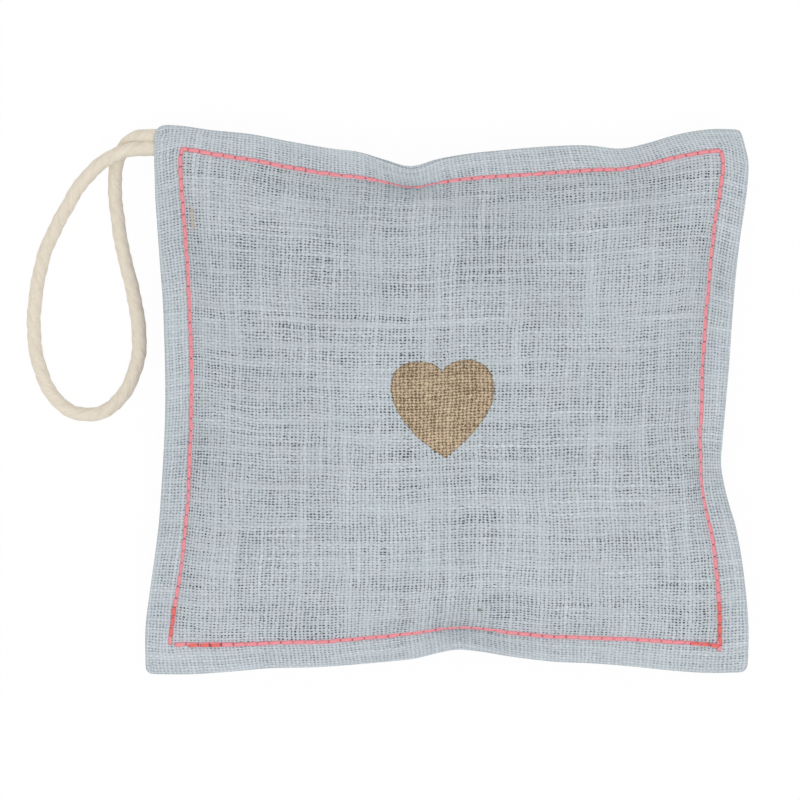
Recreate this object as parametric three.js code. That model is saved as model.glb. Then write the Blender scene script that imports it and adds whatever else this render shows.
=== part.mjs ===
// Lavender sachet: two linen panels with turned-in hems, sewn together round a filling of dried lavender,
// topstitched on all four sides, with a cotton cord loop caught in the top left corner.
// Millimetres, +Z up. It lies on its back panel with the printed front up and its top edge towards +Y.
// The origin is the middle of the sachet on the surface that it lies on.
import * as THREE from 'three';

// Panels
const PANEL_WIDTH = 120.4; // between the folded side edges, at the widest
const PANEL_HEIGHT = 109.8;
const CORNER_ROUNDING = 2;
const CLOTH_THICKNESS = 0.35;
const HEM_WIDTH = 10; // the allowance that is turned in behind each edge
const HEM_FOLD_GAP = 0.2; // between a panel and its own hem
const SEAM_GAP = 0.5; // between the front hem and the back hem

// Filled shape
const FRONT_CROWN = 13.8; // rise of the front panel above its flat border
const BACK_CROWN = 12.8; // fall of the back panel, before the surface flattens it
const CROWN_FULLNESS = 0.8; // 0.5 is a round profile, 1 is a parabola
const SEAM_HEIGHT = 9.5; // of the seam above the surface, midway along an edge
const CORNER_SEAM_HEIGHT = 4.8;
const FILLING_GAP = 0.3;
const FILLING_TUCK = 2.8; // how far the filling reaches in between the two hems

// Topstitch and inside seam
const STITCH_INSET = 5.2; // from the folded edge
const STITCH_LENGTH = 2.45;
const STITCH_RISE = 0.2; // of the thread between two needle holes
const BACK_TACK_LENGTH = 8;
const BACK_TACK_SPACING = 0.65; // between the two passes of a back tack
const TOPSTITCH_THREAD = 0.45;
const TOPSTITCH_GAP = 0.2; // thread to cloth
const TOPSTITCH_TO_CROWN = 0.5; // flat cloth left between the stitching and the crown
const SEAM_THREAD = 0.24;
const SEAM_INSET = 1.6;
const SEAM_CORD_OPENING = 9; // length of each edge, from the cord's corner, that the inside seam leaves free

// Printed heart
const HEART_WIDTH = 20.8;
const HEART_HEIGHT = 19.4;
const HEART_NOTCH = 2;
const HEART_CENTRE = [-1, -1.7];
const INK_THICKNESS = 0.15;
const INK_GAP = 0.2;

// Cord loop
const CORD_DIAMETER = 2.7;
const CORD_EXIT_DROP = 3.3; // from the panel's top down to the pair of cords
const CORD_SPACING = 2.9; // between the two cords where they leave the seam
const CORD_STUB = 1.5; // length of cord that the seam holds straight outside the edge
const TAIL_LENGTH = 8; // tucked in between the hems
const TAIL_TURN = 2.5; // from the edge in to where the tails turn
const TAIL_SLANT = THREE.MathUtils.degToRad(40); // the tails run down towards the middle
const TAIL_THICKNESS = 1.9; // pressed flat by the seam
const TAIL_WIDTH = 2.5;
const TAIL_CLEARANCE = 0.3; // tail to hem
const CORD_JOINT_GAP = 0.3; // between the stub and the loose loop

// How far the filling draws each edge in: [share of the edge from its middle, depth].
// Top and bottom run left to right, and the sides run bottom to top.
const DRAW_IN = {
  bottom: [
    [-1, 0.1], [-0.85, 0], [-0.7, 0.6], [-0.5, 1.4], [-0.3, 2], [-0.12, 3.3],
    [0.04, 4.9], [0.2, 3.6], [0.38, 2.5], [0.6, 1.6], [0.82, 0.4], [1, 0.7],
  ],
  right: [
    [-1, 0.2], [-0.84, 0], [-0.66, 0.9], [-0.52, 1.9], [-0.38, 4], [-0.24, 5.4],
    [-0.05, 4.8], [0.2, 3.7], [0.45, 2.5], [0.68, 1.1], [0.84, 0.1], [1, 1.6],
  ],
  top: [
    [-1, 0.2], [-0.92, 0], [-0.72, 1.3], [-0.5, 3.4], [-0.32, 5.1], [-0.21, 6.8], [-0.13, 8.1],
    [-0.03, 6.8], [0.1, 5.2], [0.48, 4.1], [0.62, 4.2], [0.8, 1.4], [1, 0.9],
  ],
  left: [
    [-1, 0.2], [-0.82, 0], [-0.68, 1], [-0.5, 2.2], [-0.3, 3.1], [0, 3.8], [0.25, 3.8],
    [0.48, 2.9], [0.68, 2], [0.82, 1.6], [0.87, 1.6], [0.92, 1.7], [1, 2],
  ],
};

// Route of the loose loop from the lower cord round to the upper one, between the level stretches at its ends.
// Across and up are measured from between the two stubs; height is that of the cord's underside.
const LOOP_LEVEL_END = 0.5;
const LOOP_STEPS = 60;
const CORD_SIDES = 8;
const LOOP_ROUTE = [
  [-4.6, -1.8, 5.2], [-8.2, -3.4, 4.5], [-11.5, -6, 3.1], [-14.3, -9.2, 1.6], [-16.3, -12.5, 0.6],
  [-18.1, -15.7, 0.2], [-19.7, -18.9, 0.05], [-21.1, -22.3, 0], [-22.5, -28.5, 0], [-23.2, -34.9, 0],
  [-22.9, -41.4, 0], [-21.4, -47, 0], [-18.9, -51.5, 0], [-15, -54.3, 0], [-10.3, -54.5, 0],
  [-6.5, -52.2, 0], [-3.6, -47.8, 0], [-2, -41.7, 0], [-2.4, -34.6, 0], [-3.8, -27.6, 0],
  [-5.4, -21.2, 0], [-6.3, -15.4, 0], [-6.8, -11, 0.05], [-6.9, -7.3, 0.3], [-6.8, -3.7, 1.2], [-5.6, -0.8, 2.3],
  [-2.7, 0.9, 3.5],
];

const HALF_WIDTH = PANEL_WIDTH / 2;
const HALF_HEIGHT = PANEL_HEIGHT / 2;
const CORD_RADIUS = CORD_DIAMETER / 2;
const CROWN_INSET = STITCH_INSET + TOPSTITCH_TO_CROWN;

// Distance of each layer of a panel's border from the middle of the seam
const HEM_FACE = SEAM_GAP / 2;
const HEM_BACK = HEM_FACE + CLOTH_THICKNESS;
const PANEL_INSIDE = HEM_BACK + HEM_FOLD_GAP;
const PANEL_OUTSIDE = PANEL_INSIDE + CLOTH_THICKNESS;
const FOLD_RADIUS = (PANEL_OUTSIDE - HEM_FACE) / 2;

const material = (color, roughness, metalness = 0) =>
  new THREE.MeshStandardMaterial({ color, roughness, metalness });
const linen = material(0xb9c3cb, 0.9);
const coralThread = material(0xf58a92, 0.6);
const seamCotton = material(0xc9d1d6, 0.7);
const cordCotton = material(0xe3d8c6, 0.9);
const goldInk = material(0xa5927a, 0.5, 0.4);
const driedLavender = material(0x6d6478, 1);

// A closed surface through rings of points, each ring as long as the next, closed by a point at either end.
// Seen from the first end the rings run anticlockwise, or clockwise if reversed.
function loft(startPoint, rings, endPoint, reversed = false) {
  const sides = rings[0].length;
  const points = [startPoint, ...rings.flat(), endPoint];
  const last = points.length - 1;
  const at = (ring, side) => 1 + ring * sides + (side % sides);
  const faces = [];
  for (let side = 0; side < sides; side++) {
    faces.push([0, at(0, side), at(0, side + 1)]);
    for (let ring = 0; ring + 1 < rings.length; ring++) {
      faces.push([at(ring, side), at(ring + 1, side), at(ring + 1, side + 1)]);
      faces.push([at(ring, side), at(ring + 1, side + 1), at(ring, side + 1)]);
    }
    faces.push([last, at(rings.length - 1, side + 1), at(rings.length - 1, side)]);
  }
  const geometry = new THREE.BufferGeometry().setFromPoints(points);
  geometry.setIndex(faces.flatMap((face) => (reversed ? face.reverse() : face)));
  geometry.computeVertexNormals();
  return geometry;
}

// A tube along a line of points with an oval section: halfSizes gives [across, upright] for each point's index.
function tube(line, sides, halfSizes) {
  const up = new THREE.Vector3(0, 0, 1);
  const along = line.map((point, i) =>
    new THREE.Vector3()
      .subVectors(line[Math.min(i + 1, line.length - 1)], line[Math.max(i - 1, 0)])
      .normalize(),
  );
  const rings = line.map((point, i) => {
    const across = new THREE.Vector3().crossVectors(along[i], up).normalize();
    const upright = new THREE.Vector3().crossVectors(across, along[i]);
    const [halfAcross, halfUpright] = halfSizes(i);
    return Array.from({ length: sides }, (_, side) => {
      const turn = ((side + 0.5) / sides) * 2 * Math.PI;
      return point
        .clone()
        .addScaledVector(across, Math.cos(turn) * halfAcross)
        .addScaledVector(upright, Math.sin(turn) * halfUpright);
    });
  });
  return loft(line[0], rings, line.at(-1));
}

// Outline of the folded edges. A station is a point of it, with the same point's place (across, up) on a unit square.
const drawInAt = (edge, end) => DRAW_IN[edge][end < 0 ? 0 : DRAW_IN[edge].length - 1][1];

function edgeStations(edge) {
  const level = edge === 'top' || edge === 'bottom';
  const outward = edge === 'top' || edge === 'right' ? 1 : -1;
  const before = level ? 'left' : 'bottom';
  const after = level ? 'right' : 'top';
  const [halfAlong, halfAway] = level ? [HALF_WIDTH, HALF_HEIGHT] : [HALF_HEIGHT, HALF_WIDTH];
  const raw = DRAW_IN[edge].map(([share, depth]) => {
    const along = share * (halfAlong - drawInAt(share < 0 ? before : after, outward));
    const away = outward * (halfAway - depth);
    return level
      ? { x: along, y: away, across: share, up: outward }
      : { x: away, y: along, across: outward, up: share };
  });
  const blend = (a, b, distance) => {
    const share = distance / Math.hypot(b.x - a.x, b.y - a.y);
    return Object.fromEntries(Object.keys(a).map((key) => [key, a[key] + (b[key] - a[key]) * share]));
  };
  const last = raw.length - 1;
  return {
    corners: [raw[0], raw[last]],
    stations: [
      blend(raw[0], raw[1], CORNER_ROUNDING),
      ...raw.slice(1, last),
      blend(raw[last], raw[last - 1], CORNER_ROUNDING),
    ],
  };
}

const EDGE = Object.fromEntries(Object.keys(DRAW_IN).map((edge) => [edge, edgeStations(edge)]));

// The middle of a rounded corner: halfway between the sharp corner and the chord across it.
function cornerStation(corner, from, to) {
  const share = (key) => corner[key] / 2 + (from[key] + to[key]) / 4;
  return { x: share('x'), y: share('y'), across: corner.across, up: corner.up };
}
const firstOf = (edge) => EDGE[edge].stations[0];
const lastOf = (edge) => EDGE[edge].stations.at(-1);
const CORNER = {
  bottomRight: cornerStation(EDGE.bottom.corners[1], lastOf('bottom'), firstOf('right')),
  topRight: cornerStation(EDGE.top.corners[1], lastOf('top'), lastOf('right')),
  topLeft: cornerStation(EDGE.top.corners[0], firstOf('top'), lastOf('left')),
  bottomLeft: cornerStation(EDGE.bottom.corners[0], firstOf('bottom'), firstOf('left')),
};
const OUTLINE = [
  ...EDGE.bottom.stations,
  CORNER.bottomRight,
  ...EDGE.right.stations,
  CORNER.topRight,
  ...EDGE.top.stations.toReversed(),
  CORNER.topLeft,
  ...EDGE.left.stations.toReversed(),
  CORNER.bottomLeft,
];

// How much the outline shrinks, across and up, to lie at an inset from the edge and then at a share of that.
const shrinkTo = (inset, share = 1) => [
  share * (1 - inset / HALF_WIDTH),
  share * (1 - inset / HALF_HEIGHT),
];

// Height of the middle of the seam: the corners droop below the edges.
function seamHeight(x, y) {
  const corner = Math.abs((x * y) / (HALF_WIDTH * HALF_HEIGHT));
  return SEAM_HEIGHT - (SEAM_HEIGHT - CORNER_SEAM_HEIGHT) * Math.min(1, corner ** 3);
}

// Share of the full crown at a station of the shrunk outline.
function crownShare(station, [shrinkAcross, shrinkUp]) {
  const [edgeAcross, edgeUp] = shrinkTo(CROWN_INSET);
  const across = Math.min(1, shrinkAcross / edgeAcross) * station.across;
  const up = Math.min(1, shrinkUp / edgeUp) * station.up;
  return Math.max(0, (1 - across ** 2) * (1 - up ** 2)) ** CROWN_FULLNESS;
}

// The cord's way out of the seam: from the tail's end between the hems to the stub's end outside the edge.
const exitHeight = HALF_HEIGHT - CORD_EXIT_DROP;
const exitStations = EDGE.left.stations;
const exitAbove = exitStations.findIndex((station) => station.y >= exitHeight);
const [exitLower, exitUpper] = exitStations.slice(Math.max(0, exitAbove - 1), exitAbove + 1);
const exitShare = (exitHeight - exitLower.y) / (exitUpper.y - exitLower.y);
const cordExit = new THREE.Vector2(exitLower.x + (exitUpper.x - exitLower.x) * exitShare, exitHeight);
const tailTurn = new THREE.Vector2(cordExit.x + TAIL_TURN, cordExit.y);
const tailEnd = new THREE.Vector2(Math.cos(TAIL_SLANT), -Math.sin(TAIL_SLANT))
  .multiplyScalar(TAIL_LENGTH - TAIL_TURN)
  .add(tailTurn);
const stubEnd = new THREE.Vector2(cordExit.x - CORD_STUB, cordExit.y);
const stubStart = new THREE.Vector2(cordExit.x - CORD_STUB / 2, cordExit.y);
const stubHeight = (offset) => seamHeight(stubEnd.x, stubEnd.y + offset);
const TAIL_STEPS = 8;
const tailCurve = new THREE.QuadraticBezierCurve(tailEnd, tailTurn, stubStart);
const tailLine = [...tailCurve.getPoints(TAIL_STEPS), stubEnd];

// How far the tails push either hem away from the middle of the seam.
function cordBulge(x, y) {
  const point = new THREE.Vector2(x, y);
  const away = Math.min(...tailLine.map((step) => step.distanceTo(point)));
  const full = (CORD_SPACING + TAIL_WIDTH) / 2 + CORNER_ROUNDING;
  const fade = THREE.MathUtils.smoothstep(away, full, full + TAIL_WIDTH * 2);
  return Math.max(0, TAIL_THICKNESS / 2 + TAIL_CLEARANCE - HEM_FACE) * (1 - fade);
}

// A ring of the outline, shrunk, in one layer of the front (side 1) or the back (side -1).
// The surface underneath flattens the back.
function layerRing(side, layer, shrink) {
  const crown = side > 0 ? FRONT_CROWN : BACK_CROWN;
  return OUTLINE.map((station) => {
    const x = station.x * shrink[0];
    const y = station.y * shrink[1];
    const away = layer + cordBulge(x, y) + crown * crownShare(station, shrink);
    const z = seamHeight(x, y) + side * away;
    return new THREE.Vector3(x, y, side > 0 ? z : Math.max(z, PANEL_OUTSIDE - layer));
  });
}
const layerMiddle = (side, layer) => layerRing(side, layer, [0, 0])[0];

// Rings of the crown inside the hem, as shares of the hem's inner edge, from the middle outwards
const CROWN_RINGS = [0.22, 0.45, 0.66, 0.85];
const crownRings = (side, layer) =>
  CROWN_RINGS.map((share) => layerRing(side, layer, shrinkTo(HEM_WIDTH, share)));

// One panel: from the middle of its outside, over the border, round the folded edge, along the hem and back inside.
function panelGeometry(side) {
  const midBorder = (CROWN_INSET + HEM_WIDTH) / 2;
  const foldMiddle = (HEM_FACE + PANEL_OUTSIDE) / 2;
  const ring = (layer, inset) => layerRing(side, layer, shrinkTo(inset));
  const rings = [
    ...crownRings(side, PANEL_OUTSIDE),
    ring(PANEL_OUTSIDE, HEM_WIDTH),
    ring(PANEL_OUTSIDE, midBorder),
    ring(PANEL_OUTSIDE, CROWN_INSET),
    ring(PANEL_OUTSIDE, FOLD_RADIUS),
    ring(foldMiddle, 0),
    ring(HEM_FACE, FOLD_RADIUS),
    ring(HEM_FACE, CROWN_INSET),
    ring(HEM_FACE, HEM_WIDTH),
    ring(HEM_BACK, HEM_WIDTH),
    ring(HEM_BACK, CROWN_INSET),
    ring(foldMiddle, FOLD_RADIUS),
    ring(PANEL_INSIDE, CROWN_INSET),
    ring(PANEL_INSIDE, HEM_WIDTH),
    ...crownRings(side, PANEL_INSIDE).toReversed(),
  ];
  return loft(layerMiddle(side, PANEL_OUTSIDE), rings, layerMiddle(side, PANEL_INSIDE), side < 0);
}

// The filling: under the front panel, out between the hems and back over the back panel.
function fillingGeometry() {
  const face = (side) => crownRings(side, PANEL_INSIDE - FILLING_GAP);
  const rim = (side) => layerRing(side, HEM_FACE - FILLING_GAP, shrinkTo(HEM_WIDTH + 2 * FILLING_GAP));
  const waist = layerRing(1, 0, shrinkTo(HEM_WIDTH + 2 * FILLING_GAP - FILLING_TUCK));
  waist.forEach((point) => (point.z = seamHeight(point.x, point.y)));
  const rings = [...face(1), rim(1), waist, rim(-1), ...face(-1).toReversed()];
  const layer = PANEL_INSIDE - FILLING_GAP;
  return loft(layerMiddle(1, layer), rings, layerMiddle(-1, layer));
}

// The point at a distance along a line of points in plan, moved sideways to the left by an offset.
function pointAlong(line, distance, offset) {
  let left = distance;
  let step = 0;
  while (step + 2 < line.length && left > line[step].distanceTo(line[step + 1])) {
    left -= line[step].distanceTo(line[step + 1]);
    step++;
  }
  const direction = new THREE.Vector2().subVectors(line[step + 1], line[step]).normalize();
  return line[step]
    .clone()
    .addScaledVector(direction, left)
    .add(new THREE.Vector2(-direction.y, direction.x).multiplyScalar(offset));
}

// Points along a line, evenly spaced by about a step, between two distances from its start.
function evenlySpaced(line, start, stop, step, offset) {
  const count = Math.max(1, Math.round(Math.abs(stop - start) / step));
  return Array.from({ length: count + 1 }, (_, i) =>
    pointAlong(line, start + ((stop - start) * i) / count, offset),
  );
}

// Height of a panel's outside at a place in plan: its highest face there on the front, its lowest on the back.
function clothHeight(panel, side, x, y) {
  const { position } = panel.geometry.attributes;
  const order = panel.geometry.index.array;
  const corners = [new THREE.Vector3(), new THREE.Vector3(), new THREE.Vector3()];
  const shares = new THREE.Vector3();
  let height = -Infinity;
  for (let face = 0; face < order.length; face += 3) {
    corners.forEach((corner, i) => corner.fromBufferAttribute(position, order[face + i]));
    const heights = new THREE.Vector3(corners[0].z, corners[1].z, corners[2].z);
    corners.forEach((corner) => corner.setZ(0));
    if (!THREE.Triangle.getBarycoord(new THREE.Vector3(x, y, 0), ...corners, shares)) {
      continue;
    }
    if (Math.min(shares.x, shares.y, shares.z) > -1e-6) {
      height = Math.max(height, side * shares.dot(heights));
    }
  }
  return side * height;
}

// A run of lockstitch with a back tack at either end, as one thread lying on a panel's outside.
function stitchGeometry(line, panel, side, tackSide) {
  const half = STITCH_LENGTH / 2;
  const tack = tackSide * BACK_TACK_SPACING;
  const total = line.slice(1).reduce((sum, point, i) => sum + point.distanceTo(line[i]), 0);
  const plan = [
    ...evenlySpaced(line, BACK_TACK_LENGTH, 0, half, tack),
    ...evenlySpaced(line, 0, total, half, 0),
    ...evenlySpaced(line, total, total - BACK_TACK_LENGTH, half, tack),
  ];
  const radius = TOPSTITCH_THREAD / 2;
  const route = plan.map(({ x, y }, i) => {
    const rise = TOPSTITCH_GAP + radius + (i % 2 ? STITCH_RISE : 0);
    return new THREE.Vector3(x, y, clothHeight(panel, side, x, y) + side * rise);
  });
  return tube(route, 4, () => [radius, radius]);
}

// A line at an inset from the edge, through the stations of an edge.
const insetLine = (stations, inset) => {
  const [across, up] = shrinkTo(inset);
  return stations.map((station) => new THREE.Vector2(station.x * across, station.y * up));
};

// A thread of the hidden seam that joined the panels before they were turned, in the middle between the hems.
function seamThreadGeometry(stations) {
  const line = insetLine(stations, SEAM_INSET).map(({ x, y }) => new THREE.Vector3(x, y, seamHeight(x, y)));
  return tube(line, 4, () => [SEAM_THREAD / 2, SEAM_THREAD / 2]);
}

// Heart outline about its own centre, from the notch round the right lobe, the point and the left lobe.
function heartOutline() {
  const halfWidth = HEART_WIDTH / 2;
  const halfHeight = HEART_HEIGHT / 2;
  const notch = halfHeight - HEART_NOTCH;
  const shoulder = halfHeight * 0.44;
  const flank = halfHeight * 0.02;
  const heart = new THREE.Shape();
  heart.moveTo(0, notch);
  heart.bezierCurveTo(halfWidth * 0.21, halfHeight * 1.1, halfWidth, halfHeight * 1.15, halfWidth, shoulder);
  heart.bezierCurveTo(halfWidth, flank, halfWidth * 0.66, -halfHeight / 2, 0, -halfHeight);
  heart.bezierCurveTo(-halfWidth * 0.66, -halfHeight / 2, -halfWidth, flank, -halfWidth, shoulder);
  heart.bezierCurveTo(-halfWidth, halfHeight * 1.15, -halfWidth * 0.21, halfHeight * 1.1, 0, notch);
  return heart.getPoints(9).slice(0, -1).toReversed();
}

// The print: a film of ink that follows the front panel.
function heartGeometry(panel) {
  const outline = heartOutline();
  const onPanel = ({ x, y }, share, lift) => {
    const place = new THREE.Vector3(HEART_CENTRE[0] + x * share, HEART_CENTRE[1] + y * share, 0);
    place.z = clothHeight(panel, 1, place.x, place.y) + lift;
    return place;
  };
  const ring = (share, lift) => outline.map((point) => onPanel(point, share, lift));
  const shares = [1 / 3, 2 / 3, 1];
  const top = INK_GAP + INK_THICKNESS;
  const rings = [
    ...shares.map((share) => ring(share, top)),
    ...shares.toReversed().map((share) => ring(share, INK_GAP)),
  ];
  const middle = { x: 0, y: 0 };
  return loft(onPanel(middle, 0, top), rings, onPanel(middle, 0, INK_GAP));
}

// One tail of the cord: flat between the hems, round where its stub meets the loose loop.
function tailGeometry(offset) {
  const rounding = (i) => THREE.MathUtils.smoothstep(i, TAIL_STEPS - 1, TAIL_STEPS + 1);
  const line = tailLine.map((point, i) => {
    const slope = tailCurve.getTangent(Math.min(1, i / TAIL_STEPS));
    const x = point.x + slope.y * offset;
    const y = point.y - slope.x * offset;
    const levelling = THREE.MathUtils.smoothstep(i, TAIL_STEPS - 2, TAIL_STEPS);
    return new THREE.Vector3(x, y, THREE.MathUtils.lerp(seamHeight(x, y), stubHeight(offset), levelling));
  });
  return tube(line, CORD_SIDES, (i) => [
    THREE.MathUtils.lerp(TAIL_WIDTH / 2, CORD_RADIUS, rounding(i)),
    THREE.MathUtils.lerp(TAIL_THICKNESS / 2, CORD_RADIUS, rounding(i)),
  ]);
}

// The loose loop: out over its own other leg, round on the surface and back under to the seam.
// It swings about the line across the tops of the two stubs, at their ends.
function loopGeometry() {
  const end = (offset, out) => new THREE.Vector3(stubEnd.x - out, stubEnd.y + offset, stubHeight(offset));
  const [lower, upper] = [-CORD_SPACING / 2, CORD_SPACING / 2];
  const level = CORD_JOINT_GAP + LOOP_LEVEL_END;
  const route = LOOP_ROUTE.map(
    ([across, up, height]) => new THREE.Vector3(stubEnd.x + across, stubEnd.y + up, height + CORD_RADIUS),
  );
  const path = new THREE.CurvePath();
  path.add(new THREE.LineCurve3(end(lower, CORD_JOINT_GAP), end(lower, level)));
  path.add(new THREE.CatmullRomCurve3([end(lower, level), ...route, end(upper, level)], false, 'centripetal'));
  path.add(new THREE.LineCurve3(end(upper, level), end(upper, CORD_JOINT_GAP)));
  const section = new THREE.Shape(
    Array.from({ length: CORD_SIDES }, (_, side) => {
      const turn = (side / CORD_SIDES) * 2 * Math.PI;
      return new THREE.Vector2(Math.cos(turn), Math.sin(turn)).multiplyScalar(CORD_RADIUS);
    }),
  );
  return new THREE.ExtrudeGeometry(section, { extrudePath: path, steps: LOOP_STEPS, bevelEnabled: false });
}

const sachet = new THREE.Group();
const addPiece = (name, geometry, finish) => {
  const piece = new THREE.Mesh(geometry, finish);
  piece.name = name;
  sachet.add(piece);
  return piece;
};

const frontPanel = addPiece('front_panel', panelGeometry(1), linen);
const backPanel = addPiece('back_panel', panelGeometry(-1), linen);
addPiece('lavender_filling', fillingGeometry(), driedLavender);
addPiece('printed_heart', heartGeometry(frontPanel), goldInk);

// Topstitch: one run up the left side, along the top and down the right, and one that closes the bottom.
const sideRun = insetLine(
  [
    ...EDGE.left.stations,
    CORNER.topLeft,
    ...EDGE.top.stations,
    CORNER.topRight,
    ...EDGE.right.stations.toReversed(),
  ],
  STITCH_INSET,
);
const closingRun = insetLine(EDGE.bottom.stations, STITCH_INSET);
addPiece('side_topstitch_needle_thread', stitchGeometry(sideRun, frontPanel, 1, 1), coralThread);
addPiece('side_topstitch_bobbin_thread', stitchGeometry(sideRun, backPanel, -1, 1), coralThread);
addPiece('closing_topstitch_needle_thread', stitchGeometry(closingRun, frontPanel, 1, -1), coralThread);
addPiece('closing_topstitch_bobbin_thread', stitchGeometry(closingRun, backPanel, -1, -1), coralThread);

// Inside seam: up the left side to the cord, and from past the cord along the top and down the right.
const corner = CORNER.topLeft;
const clearOfCord = ({ x, y }) => Math.hypot(x - corner.x, y - corner.y) > SEAM_CORD_OPENING;
const topAndRight = [...EDGE.top.stations, CORNER.topRight, ...EDGE.right.stations.toReversed()];
addPiece('inside_seam_thread_left', seamThreadGeometry(EDGE.left.stations.filter(clearOfCord)), seamCotton);
addPiece('inside_seam_thread_top_right', seamThreadGeometry(topAndRight.filter(clearOfCord)), seamCotton);

addPiece('loop_tail_upper', tailGeometry(CORD_SPACING / 2), cordCotton);
addPiece('loop_tail_lower', tailGeometry(-CORD_SPACING / 2), cordCotton);
addPiece('hanging_loop', loopGeometry(), cordCotton);

export default sachet;
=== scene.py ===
"""Looks of a lavender sachet: a small linen pillow with topstitched edges, a printed heart and a cord loop.

Shapes are worked out in millimetres, in the frame of the packed model, and put into the meshes in metres.
"""

import bpy
import numpy as np
from bpy.props import FloatProperty, FloatVectorProperty, PointerProperty
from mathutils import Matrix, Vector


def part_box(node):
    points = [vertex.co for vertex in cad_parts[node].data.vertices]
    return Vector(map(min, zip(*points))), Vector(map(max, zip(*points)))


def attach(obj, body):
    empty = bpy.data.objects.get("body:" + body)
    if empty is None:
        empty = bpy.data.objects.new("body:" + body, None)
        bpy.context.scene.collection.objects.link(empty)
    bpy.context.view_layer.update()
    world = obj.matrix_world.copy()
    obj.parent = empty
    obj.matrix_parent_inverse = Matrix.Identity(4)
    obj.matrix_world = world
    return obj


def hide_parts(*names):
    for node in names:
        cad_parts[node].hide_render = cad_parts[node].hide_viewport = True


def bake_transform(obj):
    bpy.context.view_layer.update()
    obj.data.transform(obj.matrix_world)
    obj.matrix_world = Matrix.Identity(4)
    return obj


bl_info = {
    "name": "Lavender sachet",
    "version": (1, 0, 0),
    "blender": (4, 5, 0),
    "location": "View3D > Sidebar > Sachet",
    "description": "Makes the linen panels, threads, print, cord and filling of a lavender sachet",
    "category": "Object",
}

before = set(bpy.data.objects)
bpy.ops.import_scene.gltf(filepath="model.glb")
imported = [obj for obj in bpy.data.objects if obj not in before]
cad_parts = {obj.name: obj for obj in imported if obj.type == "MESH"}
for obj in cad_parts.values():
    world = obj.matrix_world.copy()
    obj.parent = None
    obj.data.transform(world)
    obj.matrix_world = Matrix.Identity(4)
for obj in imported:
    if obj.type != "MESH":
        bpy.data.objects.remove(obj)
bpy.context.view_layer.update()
FRONT_LOW, FRONT_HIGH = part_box("front_panel")
MM = 0.001

# Each side's drawn-in lines, point by point: share of the half side, draw-in of the fold, inset of the
# topstitching from the fold, and lift of the fold.
SIDE_LINES = {
    "top": [
        (-1, 0.4, 4.75, 0), (-0.92, 0.35, 4.65, 0), (-0.79, 1.2, 4.75, -0.1), (-0.65, 2.1, 5.05, -0.3),
        (-0.52, 3.6, 5.15, -0.3), (-0.39, 4.9, 5.1, 0.1), (-0.29, 5.75, 4.8, 0.8), (-0.21, 7.4, 3.9, 1.8),
        (-0.12, 8.9, 3.35, 2.4), (-0.03, 7.3, 4.1, 1.7), (0.08, 6.0, 4.7, 0.7), (0.21, 5.15, 5.1, 0.1),
        (0.35, 4.5, 5.3, -0.4), (0.475, 4.4, 5.0, -0.9), (0.58, 5.05, 4.15, -1.3), (0.67, 3.85, 4.2, -0.9),
        (0.76, 2.2, 4.45, -0.2), (0.87, 1.05, 4.4, 0.2), (1, 1.1, 4.3, 0),
    ],
    "right": [
        (-1, 0.2, 5.6, 0), (-0.82, 0.1, 5.8, 0.1), (-0.68, 0.8, 5.45, 0.1), (-0.53, 2.0, 5.1, -0.3),
        (-0.46, 2.8, 5.1, -0.8), (-0.39, 4.0, 5.0, -1.4), (-0.315, 5.1, 4.75, -1.9),
        (-0.24, 5.8, 4.25, -2.1), (-0.15, 5.45, 4.65, -1.6), (-0.02, 4.8, 4.85, -0.7),
        (0.12, 4.1, 5.15, 0), (0.3, 3.4, 5.2, 0.3),
        (0.48, 2.55, 5.15, 0.3), (0.6, 1.75, 5.35, 0.2), (0.71, 0.8, 5.45, 0.1), (0.8, 0.2, 5.15, 0),
        (0.865, 0.1, 5.0, 0), (0.92, 0.65, 4.75, 0), (1, 1.6, 3.95, 0),
    ],
    "bottom": [
        (-1, 0.15, 5.85, 0), (-0.85, 0.15, 5.95, 0), (-0.72, 0.7, 5.4, -0.2), (-0.59, 1.4, 5.0, -0.3),
        (-0.45, 1.6, 5.0, -0.3), (-0.32, 2.1, 4.9, 0), (-0.19, 2.8, 4.9, 0.5), (-0.1, 3.55, 4.65, 1.1),
        (-0.03, 4.75, 4.0, 1.8), (0.04, 5.5, 3.55, 2.1), (0.1, 5.1, 3.9, 1.8), (0.21, 3.85, 4.45, 0.8),
        (0.34, 2.8, 4.9, 0.1), (0.48, 2.4, 5.0, -0.2), (0.61, 1.8, 5.35, -0.2), (0.74, 0.95, 5.65, 0),
        (0.85, 0.45, 5.85, 0), (1, 0.5, 5.45, 0),
    ],
    "left": [
        (-1, 0.1, 4.9, 0), (-0.82, 0.15, 5.3, 0), (-0.72, 0.85, 5.4, -0.1), (-0.6, 1.8, 5.5, -0.3),
        (-0.46, 2.8, 5.4, -0.5), (-0.3, 3.45, 5.35, -0.4), (-0.15, 3.9, 5.2, 0), (0, 4.15, 5.0, 0.5),
        (0.2, 4.0, 5.05, 0.6), (0.33, 3.7, 5.1, 0.4), (0.48, 3.1, 5.35, 0.1), (0.63, 2.5, 5.4, -0.1),
        (0.75, 2.05, 5.3, 0), (0.85, 1.95, 5.2, 0), (1, 2.0, 5.45, 0),
    ],
}
# Half the width and height of a panel's cut between the lines of topstitching.
FLAT_HALF = np.array([55.4, 49.8])
# Height of the middle of the seam along the sides, and how much lower the corners lie.
SEAM_HEIGHT = 9.5
CORNER_DROP = 4.7
# Share of a side over which its lines are eased into a corner.
CORNER_EASE = 0.12
# Each corner's way out from the middle and the radius of its fold.
CORNERS = (((-1, -1), 1.2), ((1, -1), 1.4), ((1, 1), 0.55), ((-1, 1), 1.9))
# Distance of a panel's layers from the middle of the seam: at the topstitching, at the fold and in the hem.
PRESSED = 0.62
FOLD_LEVEL = 0.74
HEM_LEVEL = 0.27
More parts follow.
